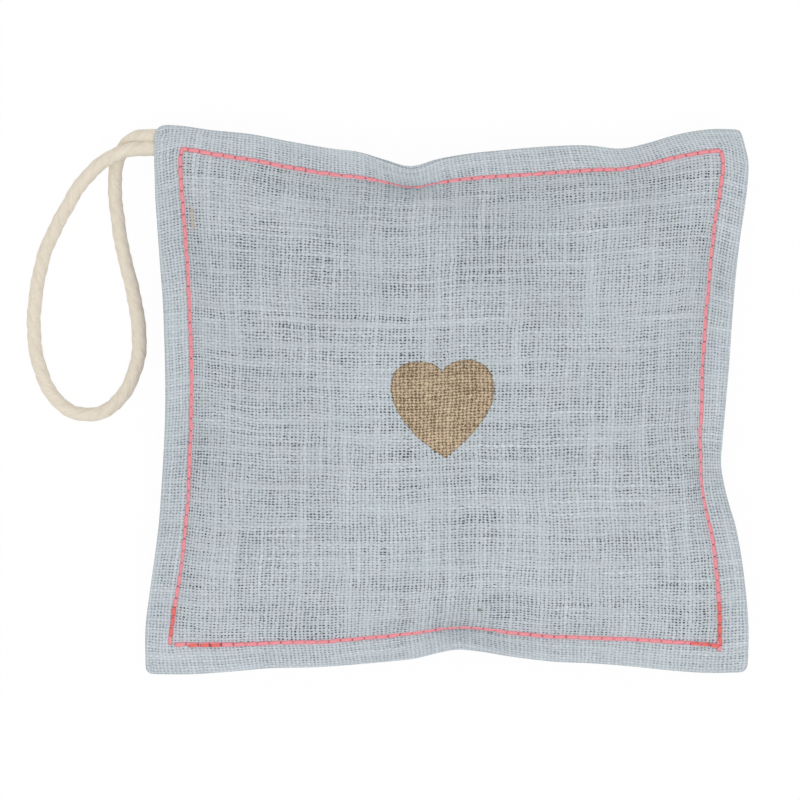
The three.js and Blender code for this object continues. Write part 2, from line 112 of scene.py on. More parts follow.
# How far the border swells, the power that moves the swelling towards the topstitching, and the share of the
# border over which one bulge passes into the other.
BORDER_SWELL = 0.28
SWELL_POWER = 0.8
BULGE_CHANGE = 0.4
# How deep the hem lies behind its panel, how far in its first ring there is, and the number of them.
HEM_DEPTH = 0.46
HEM_START = 0.8
HEM_STEPS = 5
# Rings of the border and of the hem, as shares of the way to the fold, and the fold's own turns in degrees.
BORDER_RINGS = (0.06, 0.14, 0.26, 0.42, 0.6, 0.78, 0.92, 1.0)
HEM_RINGS = (0.8, 0.6, 0.4, 0.2, 0.05)
FOLD_TURNS = (60, 30, 0, -30, -60, -90)
# Points across and up a panel, and how much closer they lie at the edges.
GRID = (97, 89)
EDGE_CROWDING = 0.35

# The cloth simulation: its scale, the frames until the ring is drawn in and until the cloth rests, how much
# of the way in the cut starts, its first dome and unevenness, and the cloth's settings.
TRIAL_SCALE = 10 * MM
DRAW_FRAMES = 20
SETTLE_FRAMES = 46
CUT_SHARE = 0.33
FIRST_DOME = 1.5
UNEVENNESS = 0.02
CLOTH_TRIAL = {
    "quality": 8, "mass": 0.3, "air_damping": 4, "tension_stiffness": 40, "compression_stiffness": 40,
    "shear_stiffness": 0.8, "bending_stiffness": 0.5, "tension_damping": 5, "compression_damping": 5,
    "shear_damping": 5,
}
# The filling's lumps: lengths of their waves, their height, how far each panel's pattern is shifted, and the
# height of the dome below which they fade; and how softly the back meets the floor.
LUMP_WAVES = (34, 26, 19, 15, 12, 10)
LUMP_HEIGHT = 0.3
LUMP_SHIFT = 40
LUMP_FADE = 0.3
FLOOR_SOFTNESS = 0.7
SEEDS = {"cut": 3, "heart": 5, "buds": 8, "lumps": 11, "stitches": 21, "tacks": (22, 23)}

# The weave: slow and fine wander of its threads in mm, and blotches in its tone. As shares of the pitch: how
# far a hole is pushed, leaned, slanted and opened by its chance, and a thread moved aside by its own.
SLOW_WANDER = 1.5
FINE_WANDER = (0.34, 0.36)
BLOTCHES = 0.14
WEAVE_PUSH = 0.18
WEAVE_LEAN = 0.14
WEAVE_SLANT = 0.7
WEAVE_OPENING = 0.11
WEAVE_SHIFT = 0.1
# Its threads: steps through the noise to the next one and for each mm along it; for warp and weft the seed,
# half thickness, and variety of thickness and of tone; noise and thickness of a slub; and the soft edge.
NEXT_THREAD = 3.17
ALONG_THREAD = 0.05
WARP = (3.0, 0.322, 0.54, 0.3)
WEFT = (31.0, 0.38, 0.636, 0.46)
SLUB_NOISE = (0.56, 0.72)
SLUB_THICKNESS = 0.16
THREAD_EDGE = (-0.06, 0.08)
# A crossing: how fast a thread falls to its sides, how much lower the under one lies, and how fast the upper
# one falls along its length.
SIDE_FALL = 2.0
UNDER_DROP = 0.3
CROSSING_FALL = 0.8
# Odd fibres in the front panel: place on the flat cut, half size, colour and strength.
FLECKS = (
    ((-53.2, 36.2), (0.6, 2.6), (0.53, 0.475, 0.405), 0.85),
    ((6.6, -44.0), (0.5, 0.4), (0.12, 0.12, 0.1), 0.7),
)
# The heart: its place on the flat cut, its lean, and the raggedness, lift and thickness of its ink.
HEART_PLACE = np.array([-1.3, -0.77])
HEART_LEAN = (0.048, -0.012)
INK_RAGGEDNESS = 0.1
INK_LIFT = 0.03
INK_THICKNESS = 0.05
# The right half of its outline as two cubic arcs, in shares of its half width and height; the points on an
# arc, the distance of the outline's points, and the rings from the middle to it.
HEART_ARCS = np.array([
    [(0, 0.784), (0.21, 1.1), (1, 1.15), (1, 0.44)],
    [(1, 0.44), (1, 0.02), (0.66, -0.5), (0, -1)],
])
ARC_POINTS = 60
HEART_STEP = 0.3
HEART_RINGS = 21
# Each run of topstitching: bare length before it, length past its end, where the second pass begins and ends
# after the start and before the end, and how far it lies to the side.
RUNS = {
    "closing": (0.85, 0, (2.3, 9.6), (6.2, 0), -0.07),
    "side": (0, 1.3, (1.2, 8.0), (10.6, 0.7), 0.07),
}
# Places along a stitch, from hole to hole, at which its thread has a ring, and the ring's corners.
STITCH_RINGS = (0, 0.035, 0.08, 0.18, 0.5, 0.82, 0.92, 0.965)
THREAD_SIDES = 8
# A stitch: share in which it swells, level at its holes, rise between them, wander and slant to the side.
STITCH_SWELL = 0.16
HOLE_LEVEL = -0.03
STITCH_RISE = 0.2
STITCH_WANDER = 0.06
STITCH_SLANT = 0.14
# Its thread, as shares of the width: width at a hole, unevenness and flatness.
HOLE_WIDTH = 0.86
THREAD_UNEVENNESS = 0.05
THREAD_FLATNESS = 0.7
# A tack, the second pass: its further rise at the holes and between them, and how much thinner it is.
TACK_RISE = 0.2
TACK_SWELL = 0.04
TACK_THINNING = 0.24
# Painted shade where a thread goes into its needle holes: how dark as mean, spread, least and at its ends,
# and the shares of a stitch, and of a tack, between which that fades.
DIP_DEPTH = 0.75
DIP_SPREAD = 0.3
DIP_LEAST = 0.2
END_DIP = 0.6
DIP_FADE = (0.025, 0.09)
TACK_DIP_FADE = (0.055, 0.15)
# The least length that a run goes past its end, so that its last two points differ.
LEAST_PAST = 0.01
# The hidden seam: distance inside the fold, length left free beside the cord, and its thread's half width,
# half height and corners.
SEAM_INSET = 1.6
SEAM_CORD_OPENING = 9
SEAM_HALF = (0.12, 0.09)
SEAM_SIDES = 6

# The cord: where it leaves the corner, how far it is held straight, the distance between its two ends there,
# and the loop's route from the middle of them.
CORD_EXIT = np.array([-58.41, 51.6])
CORD_STUB = 1.5
CORD_SPACING = 2.35
CORD_ROUTE = np.array([
    (-4.6, -1.8, 5.2), (-8.2, -3.4, 4.5), (-11.5, -6, 3.1), (-14.3, -9.2, 1.6), (-16.3, -12.5, 0.6),
    (-18.1, -15.7, 0.2), (-19.7, -18.9, 0.05), (-21.1, -22.3, 0), (-22.5, -28.5, 0), (-23.2, -34.9, 0),
    (-22.9, -41.4, 0), (-21.4, -47, 0), (-18.9, -51.5, 0), (-15, -54.3, 0), (-10.3, -54.5, 0),
    (-6.5, -52.2, 0), (-3.6, -47.8, 0), (-2, -41.7, 0), (-2.4, -34.6, 0), (-3.8, -27.6, 0),
    (-5.4, -21.2, 0), (-6.3, -15.4, 0), (-6.8, -11, 0.05), (-6.9, -7.3, 0.3), (-6.8, -3.7, 1.2),
    (-5.6, -0.8, 2.3), (-2.7, 0.9, 3.5),
])
# How far the straight part runs past its end, and the lowest level of the cord's surface.
STUB_PAST = 0.3
CORD_FLOOR = 0.01
# How far the under strand is drawn in at the crossing, at the two points before the last.
CROSSING_PULL = np.array([(0.45, 0, 0), (0.55, -0.15, 0)])
# The cord's tucked-in ends: length, place of the turn, slant, points, half width and half height, and steps
# in which their height passes into that of the straight part.
TAIL_LENGTH = 8
TAIL_TURN = 2.5
TAIL_SLANT = np.radians(40)
TAIL_POINTS = 14
TAIL_HALF = (1.48, 0.95)
LEVELLING_STEPS = 3
# Distances inwards from the straight part's end between which the cord widens and is flattened.
WIDENING = (-4.5, -0.5)
FLATTENING = (0.5, 4.0)
# How far the tucked-in ends push the layers apart, and the distances between which that fades.
TAIL_BULGE = 0.75
BULGE_FADE = (3.4, 8.0)
# The cord's rings: their distance and corners, and the rounds of smoothing that its line gets.
CORD_STEP = 0.4
CORD_SIDES = 36
CORD_SMOOTHING = 14
# The cord's strands; its fullness, groove and unevenness as shares of its radius, and the unevenness's two
# waves, in radians for each mm; the length of a blunt end and the least share of the radius there.
STRANDS = 3
CORD_FULLNESS = 1.04
GROOVE_DEPTH = 0.075
CORD_UNEVENNESS = 0.03
SLOW_WAVE = 0.9
QUICK_WAVE = 2.3
BLUNT_END = 0.8
BLUNT_LEAST = 0.2

# The filling: points across and up, width of the border it keeps clear of, room beside the hems, power of
# its rim, and how soon the dents between the buds are at full depth inside the rim.
FILLING_GRID = (150, 136)
BORDER_WIDTH = 5.3
HEM_ROOM = 0.8
RIM_POWER = 10
DENT_GROWTH = 1.5
# The buds: places in their pattern, where each face's pattern starts, range of a bud in its place, its half
# length and breadth as shares of the buds' distance, and its height.
BUD_PLACES = 64
BUD_STARTS = {1: 30, -1: 47.3}
BUD_RANGE = (0.1, 0.9)
BUD_HALF = (0.95, 0.55)
BUD_HEIGHT = 0.9

# The stage: the camera's place, its sensor and the level at which the view's width is measured; the floor's
# half width, level and share of plain white; the lamp's place and size in metres.
CAMERA_PLACE = (-9.4, -0.1)
SENSOR = 36
VIEW_LEVEL = 8
FLOOR_HALF = 3000
FLOOR_LEVEL = -0.02
FLOOR_WHITE = 0.96
LAMP_PLACE = (0.06, -0.32, 1.36)
LAMP_SIZE = 1.2
WHITE = (1.0, 1.0, 1.0)

made = {}


# Sizes and colours that a user would change


def size_field(name, description, default):
    """A length in metres."""
    return FloatProperty(
        name=name, description=description, default=default, precision=5, subtype="DISTANCE", unit="LENGTH",
    )


def colour_field(name, description, default):
    """A colour of three parts."""
    return FloatVectorProperty(
        name=name, description=description, default=default, size=3, min=0, max=1, subtype="COLOR",
    )


class ClothSettings(bpy.types.PropertyGroup):
    """Sizes and colours of the linen panels"""

    width: size_field("Width", "Greatest width of the pillow", FRONT_HIGH.x - FRONT_LOW.x)
    height: size_field("Height", "Greatest height of the pillow", FRONT_HIGH.y - FRONT_LOW.y)
    thickness: size_field("Cloth thickness", "Thickness of one layer of linen", 0.35 * MM)
    hem: size_field("Hem", "Width of the cloth turned in behind the edge", 10 * MM)
    warp_pitch: size_field("Warp pitch", "Distance between upright threads", 0.79 * MM)
    weft_pitch: size_field("Weft pitch", "Distance between level threads", 0.6 * MM)
    load: FloatProperty(name="Load", description="How hard the filling lifts the panels", default=10)
    thread_colour: colour_field("Linen", "Colour of the linen threads", (0.522, 0.571, 0.602))
    slub_colour: colour_field("Slub", "Colour of thick, pale threads", (0.562, 0.612, 0.648))
    # Painted shade: the gap colours stand for the shaded inside seen through the holes of the weave, over
    # the filling and over the hem.
    gap_shade_colour: colour_field("Gaps", "Colour between the threads over the filling", (0.034, 0.041, 0.05))
    lined_gap_shade_colour: colour_field("Lined gaps", "Colour between threads over the hem", (0.18, 0.215, 0.255))


class HeartSettings(bpy.types.PropertyGroup):
    """Sizes and colours of the printed heart"""

    width: size_field("Width", "Width of the heart", 20.9 * MM)
    height: size_field("Height", "Height from tip to lobes", 19.9 * MM)
    ink: colour_field("Ink", "Colour of the printing ink", (0.585, 0.468, 0.335))
    # Painted shade: the ink's colour between the threads stands for the shade there.
    ink_gap_shade: colour_field("Ink in gaps", "Colour of the ink between the threads", (0.1, 0.063, 0.023))


class ThreadSettings(bpy.types.PropertyGroup):
    """Sizes and colours of the sewing threads"""

    stitch: size_field("Stitch", "Length of one stitch", 2.4 * MM)
    width: size_field("Width", "Width of the thread", 0.86 * MM)
    colour: colour_field("Thread", "Colour of the topstitching", (0.91, 0.305, 0.345))
    tack_colour: colour_field("Tack", "Colour where the thread lies double", (0.9, 0.165, 0.14))
    # Painted shade where the thread goes down into a needle hole.
    hole_shade_colour: colour_field("Hole", "Colour where the thread dips into the cloth", (0.43, 0.1, 0.13))
    seam_colour: colour_field("Seam thread", "Colour of the hidden seam's thread", (0.55, 0.6, 0.64))


class CordSettings(bpy.types.PropertyGroup):
    """Sizes and colours of the hanging cord"""

    diameter: size_field("Diameter", "Diameter of the cord", 2.7 * MM)
    lay: size_field("Lay", "Length in which a strand goes once round", 13 * MM)
    colour: colour_field("Cotton", "Colour of the cotton", (0.81, 0.735, 0.612))
    # Painted shade between the strands.
    groove_shade_colour: colour_field("Grooves", "Colour between the strands", (0.77, 0.69, 0.565))
    fleck_colour: colour_field("Flecks", "Colour of bits of husk in the cotton", (0.66, 0.56, 0.38))


class FillingSettings(bpy.types.PropertyGroup):
    """Sizes and colours of the dried lavender"""

    gap: size_field("Gap", "Room left between the filling and the linen", 0.6 * MM)
    bud: size_field("Bud", "Distance between the buds", 3.2 * MM)
    colour: colour_field("Buds", "Colour of the dried buds", (0.12, 0.1, 0.19))
    stalk_colour: colour_field("Chaff", "Colour of stalks and chaff", (0.27, 0.25, 0.16))


class StageSettings(bpy.types.PropertyGroup):
    """The camera, the floor and the light"""

    distance: size_field("Distance", "Height of the camera above the floor", 1.0)
    view_width: size_field("View", "Width that the picture takes in", 0.16)
    floor_colour: colour_field("Floor", "Colour of the floor", (0.97, 0.97, 0.97))
    light: FloatProperty(name="Light", description="Strength of the soft light all round", default=0.72)
    lamp: FloatProperty(name="Lamp", description="Power of the lamp overhead", default=7.1, unit="POWER")


SETTINGS = {
    "sachet_cloth": ClothSettings,
    "sachet_heart": HeartSettings,
    "sachet_thread": ThreadSettings,
    "sachet_cord": CordSettings,
    "sachet_filling": FillingSettings,
    "sachet_stage": StageSettings,
}


def chosen(name):
    """The settings group of that name."""
    return getattr(bpy.context.scene, f"sachet_{name}")


# Materials


class Socket:
    """A socket of a material; arithmetic on it adds Math nodes."""

    def __init__(self, recipe, link):
        self.recipe = recipe
        self.link = link

    def maths(self, operation, *others):
        return self.recipe.maths(operation, self, *others)

    def __add__(self, other):
        return self.maths("ADD", other)

    def __sub__(self, other):
        return self.maths("SUBTRACT", other)

    def __rsub__(self, other):
        return self.recipe.maths("SUBTRACT", other, self)

    def __mul__(self, other):
        return self.maths("MULTIPLY", other)

    def __truediv__(self, other):
        return self.maths("DIVIDE", other)

    def __rtruediv__(self, other):
        return self.recipe.maths("DIVIDE", other, self)

    def __abs__(self):
        return self.maths("ABSOLUTE")

    __radd__ = __add__
    __rmul__ = __mul__

    def rise(self, low, high):
        """0 below low, 1 above high and a smooth step between."""
        settings = {"interpolation_type": "SMOOTHSTEP"}
        return self.recipe.add("ShaderNodeMapRange", settings, {0: self, 1: low, 2: high, 3: 0.0, 4: 1.0})


class Recipe:
    """A material, or the world, whose nodes are added one by one."""

    def __init__(self, name, holders=None):
        self.holder = (bpy.data.materials if holders is None else holders).new(name)
        self.holder.use_nodes = True
        self.tree = self.holder.node_tree
        self.tree.nodes.clear()

    def add(self, kind, settings=None, inputs=None, output=0):
        """Adds a node of that type, with its settings first and then its sockets' values or links."""
        node = self.tree.nodes.new(kind)
        for key, value in (settings or {}).items():
            setattr(node, key, value)
        for key, value in (inputs or {}).items():
            if isinstance(value, Socket):
                self.tree.links.new(value.link, node.inputs[key])
            elif hasattr(value, "__len__") and len(value) == 3 and node.inputs[key].type == "RGBA":
                node.inputs[key].default_value = (*value, 1)
            else:
                node.inputs[key].default_value = value
        return Socket(self, node.outputs[output]) if len(node.outputs) else None

    def maths(self, operation, *values):
        return self.add("ShaderNodeMath", {"operation": operation}, dict(enumerate(values)))

    def split(self, vector):
        """The three parts of a vector or colour."""
        first = self.add("ShaderNodeSeparateXYZ", None, {0: vector})
        return [Socket(self, link) for link in first.link.node.outputs]

    def vector(self, x, y, z=0.0):
        return self.add("ShaderNodeCombineXYZ", None, {0: x, 1: y, 2: z})

    def mix(self, share, low, high):
        """A colour between low and high."""
        return self.add("ShaderNodeMix", {"data_type": "RGBA"}, {0: share, 6: low, 7: high}, 2)

    def scale(self, colour, value):
        """A colour times a value."""
        return self.add("ShaderNodeVectorMath", {"operation": "SCALE"}, {0: colour, "Scale": value})

    def noise(self, vector, scale=1.0, detail=0.0):
        """Three independent smooth noises, each about 0.5."""
        inputs = {"Vector": vector, "Scale": scale, "Detail": detail}
        return self.split(self.add("ShaderNodeTexNoise", None, inputs, 1))

    def attribute(self, name, output=2):
        return self.add("ShaderNodeAttribute", {"attribute_name": name}, None, output)

    def cloth_place(self):
        """Across and up the flat cut, in millimetres."""
        return self.split(self.add("ShaderNodeUVMap", {"uv_map": "cloth"}))[:2]

    def object_place(self):
        return self.add("ShaderNodeTexCoord", None, None, 3)

    def finish(self, inputs, bump, strength, depth):
        """A Principled surface from those sockets, with a bump from a height of 0 to 1, so many mm deep."""
        raised = {"Strength": strength, "Distance": depth * MM, "Height": bump}
        inputs = {**inputs, "Normal": self.add("ShaderNodeBump", None, raised)}
        surface = self.add("ShaderNodeBsdfPrincipled", None, inputs)
        self.add("ShaderNodeOutputMaterial", None, {"Surface": surface})
        return self.holder

    def in_view(self):
        """1 for what the camera sees straight, mirrored or through glass, and 0 for light on something."""
        node = self.add("ShaderNodeLightPath").link.node
        rays = ("Is Camera Ray", "Is Glossy Ray", "Is Transmission Ray")
        straight, mirrored, through = (Socket(self, node.outputs[ray]) for ray in rays)
        return straight.maths("MAXIMUM", mirrored).maths("MAXIMUM", through)


def weave(recipe):
    """Plain weave on the cloth's own millimetres: thread numbers and places from whole and broken parts of
    the coordinates over the pitch; each hole between four threads pushed, leaned and opened by its own
    chance; thickness, slubs and tone from noises that are long along a thread and new on the next one; the
    upper thread of each crossing from the evenness of the two thread numbers.
    Returns the threads' cover, their tone about 1, their slubs, their height, and the chance of the hole."""
    cloth = chosen("cloth")
    x, y = recipe.cloth_place()
    slow_x, slow_y, blotch = recipe.noise(recipe.vector(x, y), 0.07, 2.0)
    fine_x, fine_y, _ = recipe.noise(recipe.vector(x, y, 4.0), 0.9, 1.0)
    across = (x + slow_x * SLOW_WANDER + fine_x * FINE_WANDER[0]) / (cloth.warp_pitch / MM)
    along = (y + slow_y * SLOW_WANDER + fine_y * FINE_WANDER[1]) / (cloth.weft_pitch / MM)
    hole_a = (across + 0.5).maths("FLOOR")
    hole_b = (along + 0.5).maths("FLOOR")
    hole = {0: recipe.vector(hole_a, hole_b)}
    chances = recipe.add("ShaderNodeTexWhiteNoise", {"noise_dimensions": "2D"}, hole, 1)
    push, lean, wide = recipe.split(chances)
    from_b = along - hole_b + (push - 0.5) * WEAVE_PUSH
    from_a = across - hole_a + (lean - 0.5) * WEAVE_LEAN + (lean - 0.35) * from_b * WEAVE_SLANT
    warp = (across, from_a, y, *WARP)
    weft = (along, from_b, x, *WEFT)
    threads = []
    for place, off, other, seed, full, uneven, vary in (warp, weft):
        number = place.maths("FLOOR")
        spot = recipe.vector(number * NEXT_THREAD, other * ALONG_THREAD, seed)
        thick, slub, tone = recipe.noise(spot, 1.0, 1.5)
        chance = recipe.add("ShaderNodeTexWhiteNoise", {"noise_dimensions": "1D"}, {"W": number + seed})
        off = abs(0.5 - abs(off) + (chance - 0.5) * WEAVE_SHIFT)
        slub = slub.rise(*SLUB_NOISE)
        half = full + (thick - 0.5) * uneven + slub * SLUB_THICKNESS + (wide - 0.5) * WEAVE_OPENING
        cover = (half - off).rise(*THREAD_EDGE)
        threads.append((number, off * off, cover, slub, (tone - 0.5) * vary))
    (number_a, far_a, cover_a, slub_a, tone_a), (number_b, far_b, cover_b, slub_b, tone_b) = threads
    over = ((number_a + number_b) * 0.5).maths("FRACT").rise(0.2, 0.3)
    lifted_a = (1 - UNDER_DROP) + over * (UNDER_DROP + far_b * -CROSSING_FALL)
    lifted_b = 1.0 - over * UNDER_DROP - (1 - over) * far_a * CROSSING_FALL
    raised_a = cover_a * (1 - far_a * SIDE_FALL) * lifted_a
    raised_b = cover_b * (1 - far_b * SIDE_FALL) * lifted_b
    first = (raised_a - raised_b).rise(-0.04, 0.04)
    tone = 1 + first * tone_a + (1 - first) * tone_b + (blotch - 0.5) * BLOTCHES
    slub = first * slub_a + (1 - first) * slub_b
    return cover_a.maths("MAXIMUM", cover_b), tone, slub, raised_a.maths("MAXIMUM", raised_b), wide


def linen():
    """Washed blue-grey linen: pale slubby threads with painted shade and highlight, painted shade in the
    gaps, dark over the filling and paler over the hem, one straw-coloured fibre and one dark speck."""
    if "linen" in made:
        return made["linen"]
    cloth = chosen("cloth")
    recipe = Recipe("washed_linen")
    cover, tone, slub, height, _ = weave(recipe)
    x, y = recipe.cloth_place()
    outside = (abs(x) - FLAT_HALF[0]).maths("MAXIMUM", abs(y) - FLAT_HALF[1])
    lined = outside.rise(-1.6, 0.4)
    # Painted shade in the gaps of the weave: dark over the filling, paler where the hem lies behind, and 85
    # % of the thread colour at the fold.
    gap_shade = recipe.mix(lined, cloth.gap_shade_colour, cloth.lined_gap_shade_colour)
    fold = (outside - border_breadth()).rise(-1.0, -0.1)
    gap_shade = recipe.mix(fold, gap_shade, [0.85 * part for part in cloth.thread_colour])
    threads = recipe.mix(slub, cloth.thread_colour, cloth.slub_colour)
    # Painted shade and highlight: each thread is darker towards its sides and where it passes under, and
    # lighter on the top of a crossing, from its height; 3 % lighter where the hem lies behind, painted
    # light.
    threads = recipe.scale(threads, tone * (0.5 + height * 0.58) * (1 + lined * 0.03))
    cast = recipe.noise(recipe.vector(x, y, 7.0), 0.2, 2.0)[0].rise(0.35, 0.65)
    tint = recipe.mix(cast, (0.987, 1.0, 0.991), (1.0, 0.989, 1.012))
    threads = recipe.add("ShaderNodeVectorMath", {"operation": "MULTIPLY"}, {0: threads, 1: tint})
    colour = recipe.mix(cover, gap_shade, threads)
    for (at_x, at_y), (half_x, half_y), fibre, share in FLECKS:
        near_x = 1 - (abs(x - at_x) / half_x).rise(0.6, 1.1)
        near_y = 1 - (abs(y - at_y) / half_y).rise(0.7, 1.1)
        colour = recipe.mix(near_x * near_y * (0.4 + cover * 0.6) * share, colour, fibre)
    inputs = {"Base Color": colour, "Roughness": 0.9, "Specular IOR Level": 0.2}
    made["linen"] = recipe.finish(inputs, height, 0.6, 0.12)
    return made["linen"]


def gold_ink():
    """Bronze printing ink that lies on the linen's threads and half fills the gaps, with a painted highlight
    on the top of each crossing, varied by a fine noise and the chance of the hole, and painted shade
    between."""
    heart = chosen("heart")
    recipe = Recipe("gold_ink")
    _, tone, _, height, wide = weave(recipe)
    x, y = recipe.cloth_place()
    speck, worn, warm = recipe.noise(recipe.vector(x, y, 9.0), 3.4, 1.0)
    # Painted highlight on the tops of the crossings and painted shade between them, from the weave's height.
    lit = (height * (0.58 + speck * 0.52 + wide * 0.16)).rise(0.3, 1.15)
    warmer = [part * share for part, share in zip(heart.ink, (1.0, 0.93, 0.86))]
    ink = recipe.mix(warm.rise(0.35, 0.65), heart.ink, warmer)
    body = recipe.scale(recipe.mix(lit, heart.ink_gap_shade, ink), tone * (0.86 + worn * 0.28))
    inputs = {"Base Color": body, "Roughness": 0.6 - speck * 0.25, "Metallic": 0.3}
    return recipe.finish(inputs, height, 0.7, 0.12)


def coral_thread():
    """Twisted sewing thread: slanting plies with painted shade between them, painted shade where it goes
    into the needle holes, deeper in a tack, and redder where it lies double.
    """
    thread = chosen("thread")
    recipe = Recipe("coral_thread")
    ply, turn, _ = recipe.split(recipe.attribute("ply", 1))
    dip = recipe.attribute("dip")
    tack = recipe.attribute("tack")
    fibres = recipe.noise(recipe.vector(ply, turn), 6.0, 1.0)[0]
    # Painted shade between the plies.
    strand = abs((ply * 1.9 + turn * 2.0).maths("FRACT") - 0.5) * 2
    body = recipe.mix(tack, thread.colour, thread.tack_colour)
    body = recipe.scale(body, 0.82 + strand * 0.2 + (fibres - 0.5) * 0.4)
    # Painted shade in the needle holes, darker still in a tack.
    hole = recipe.scale(thread.hole_shade_colour, 1 - tack * 0.45)
    inputs = {"Base Color": recipe.mix(dip, body, hole), "Roughness": 0.6}
    return recipe.finish(inputs, strand, 0.5, 0.08)


def seam_thread():
    """Plain spun thread of the hidden seam, with fine slanting plies and painted shade between them."""
    thread = chosen("thread")
    recipe = Recipe("seam_thread")
    x, y, z = recipe.split(recipe.object_place())
    # Painted shade between the plies.
    strand = ((x + y + z) * 1600).maths("SINE") * 0.5 + 0.5
    body = recipe.mix(strand, [0.7 * part for part in thread.seam_colour], thread.seam_colour)
    return recipe.finish({"Base Color": body, "Roughness": 0.7}, strand, 0.4, 0.03)


def cotton():
    """Soft cotton cord: fibres slanting in each strand, painted shade in the grooves, with flecks of husk.
    """
    cord = chosen("cord")
    recipe = Recipe("cotton_cord")
    x, y, z = recipe.split(recipe.attribute("strand", 1))
    groove = recipe.attribute("groove")
    fibres, hairs, _ = recipe.noise(recipe.vector(x * 5, y * 5, z * 0.5), 1.0, 2.0)
    fluff, fleck, shade = recipe.noise(recipe.vector(x * 1.6, y * 1.6, z * 0.7), 1.3, 2.0)
    line = 1 - (abs(hairs - 0.5) * 11).rise(0.2, 1.0)
    # Painted shade in the grooves between the strands.
    body = recipe.mix(groove, cord.colour, cord.groove_shade_colour)
    body = recipe.scale(body, 0.94 + (fibres - 0.5) * 0.16 + shade * 0.12 - line * 0.075)
    body = recipe.mix(fleck.rise(0.66, 0.76) * 0.45, body, cord.fleck_colour)
    inputs = {"Base Color": body, "Roughness": 0.92, "Specular IOR Level": 0.2, "Sheen Weight": 0.3}
    return recipe.finish(inputs, fibres * 0.7 + fluff * 0.3, 0.7, 0.25)


def lavender():
    """Dried buds in purple and grey, with chaff between them."""
    filling = chosen("filling")
    recipe = Recipe("dried_lavender")
    kind, rib, dust = recipe.noise(recipe.object_place(), 420.0, 3.0)
    body = recipe.mix(kind.rise(0.5, 0.62), filling.colour, filling.stalk_colour)
    body = recipe.scale(body, 0.6 + rib * 0.8)
    return recipe.finish({"Base Color": body, "Roughness": 0.85}, dust, 0.8, 0.4)


# Meshes


def put_mesh(name, points, faces, finish, uv=None, values=None, smooth=True):
    """A piece from points in millimetres and a list of face arrays, with a cloth map and point values."""
    mesh = bpy.data.meshes.new(name)
    faces = [face for part in faces for face in part.tolist()]
    mesh.from_pydata((np.asarray(points) * MM).tolist(), [], faces)
    mesh.polygons.foreach_set("use_smooth", np.full(len(mesh.polygons), smooth))
    if uv is not None:
        corners = np.empty(len(mesh.loops), np.int32)
        mesh.loops.foreach_get("vertex_index", corners)
        mesh.uv_layers.new(name="cloth").data.foreach_set("uv", uv[corners].astype(np.float32).ravel())
    for key, value in (values or {}).items():
        kind, field = ("FLOAT_VECTOR", "vector") if np.ndim(value) > 1 else ("FLOAT", "value")
        mesh.attributes.new(key, kind, "POINT").data.foreach_set(field, np.ravel(value).astype(np.float32))
    mesh.materials.append(finish)
    mesh.update()
    piece = bpy.data.objects.new(name, mesh)
    bpy.context.scene.collection.objects.link(piece)
    return piece


def thicken(piece, thickness):
    """A wall of that thickness in metres, half on either side of the surface."""
    wall = piece.modifiers.new("Thickness", "SOLIDIFY")
    wall.thickness = thickness
    wall.offset = 0


def put_on_sachet(piece, node):
    """The piece moves with the sachet and stands for that node, which is hidden."""
    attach(piece, "sachet")
    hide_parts(node)


def unit(vectors):
    """The vectors, each made one long."""
    return vectors / np.maximum(np.linalg.norm(vectors, axis=-1, keepdims=True), 1e-12)


def ease(value, low, high):
    """0 below low, 1 above high and a smooth step between."""
    t = np.clip((value - low) / (high - low), 0, 1)
    return t * t * (3 - 2 * t)


def grid_index(rows, columns):
    """The numbers of a grid's points, row by row."""
    return np.arange(rows * columns).reshape(rows, columns)


def quads(index):
    """The faces of a grid of point numbers."""
    return np.stack([index[:-1, :-1], index[:-1, 1:], index[1:, 1:], index[1:, :-1]], -1).reshape(-1, 4)


def belts(index):
    """The faces between closed rings of point numbers."""
    ahead = np.roll(index, -1, 1)
    return np.stack([index[:-1], ahead[:-1], ahead[1:], index[1:]], -1).reshape(-1, 4)


def round_trip(bottom, right, top, left):
    """One ring from four sides: bottom to the right, right side up, top back to the left, left side down."""
    return np.concatenate([bottom[:-1], right[:-1], top[:0:-1], left[:0:-1]])


def edge_of(grid):
    """The ring round a grid of points or of their numbers."""
    return round_trip(grid[0], grid[:, -1], grid[-1], grid[:, 0])


def drawn_line(at, rows, column):
    """A curve through a listed column: on each span a cubic Hermite piece, with mean slopes at its ends."""
    table = np.array(rows, float)
    x = table[:, 0]
    y = table[:, column]
    slope = np.gradient(y, x)
    i = np.clip(np.searchsorted(x, at) - 1, 0, len(x) - 2)
    span = x[i + 1] - x[i]
    t = np.clip((at - x[i]) / span, 0, 1)
    low = (2 * t**3 - 3 * t**2 + 1) * y[i] + (t**3 - 2 * t**2 + t) * span * slope[i]
    return low + (3 * t**2 - 2 * t**3) * y[i + 1] + (t**3 - t**2) * span * slope[i + 1]


def lengths(line):
    """Distance of each point from the line's start, along the line."""
    return np.concatenate([[0], np.cumsum(np.linalg.norm(np.diff(line, axis=0), axis=1))])


def at_lengths(values, run, at):
    """Values known at the distances run, in a straight line between them at other distances."""
    return np.stack([np.interp(at, run, values[:, k]) for k in range(values.shape[1])], -1)


def resampled(line, spacing):
    """Points at even steps along a line, and their distances from its start."""
    run = lengths(line)
    at = np.linspace(0, run[-1], max(2, int(round(run[-1] / spacing)) + 1))
    return at_lengths(line, run, at), at


def smooth_route(points, per_span=24):
    """A curve through points, each part drawn over the sum of the square roots of the points' distances."""
    run = np.concatenate([[0], np.cumsum(np.linalg.norm(np.diff(points, axis=0), axis=1) ** 0.5)])
    at = np.concatenate([np.linspace(run[:-1], run[1:], per_span, endpoint=False).T.ravel(), run[-1:]])
    return np.stack([drawn_line(at, np.column_stack([run, points]), k + 1) for k in range(3)], -1)


def frames_along(line, up):
    """Unit vectors across a line and away from what it lies on."""
    along = unit(np.gradient(line, axis=0))
    across = unit(np.cross(up, along))
    return across, np.cross(along, across)


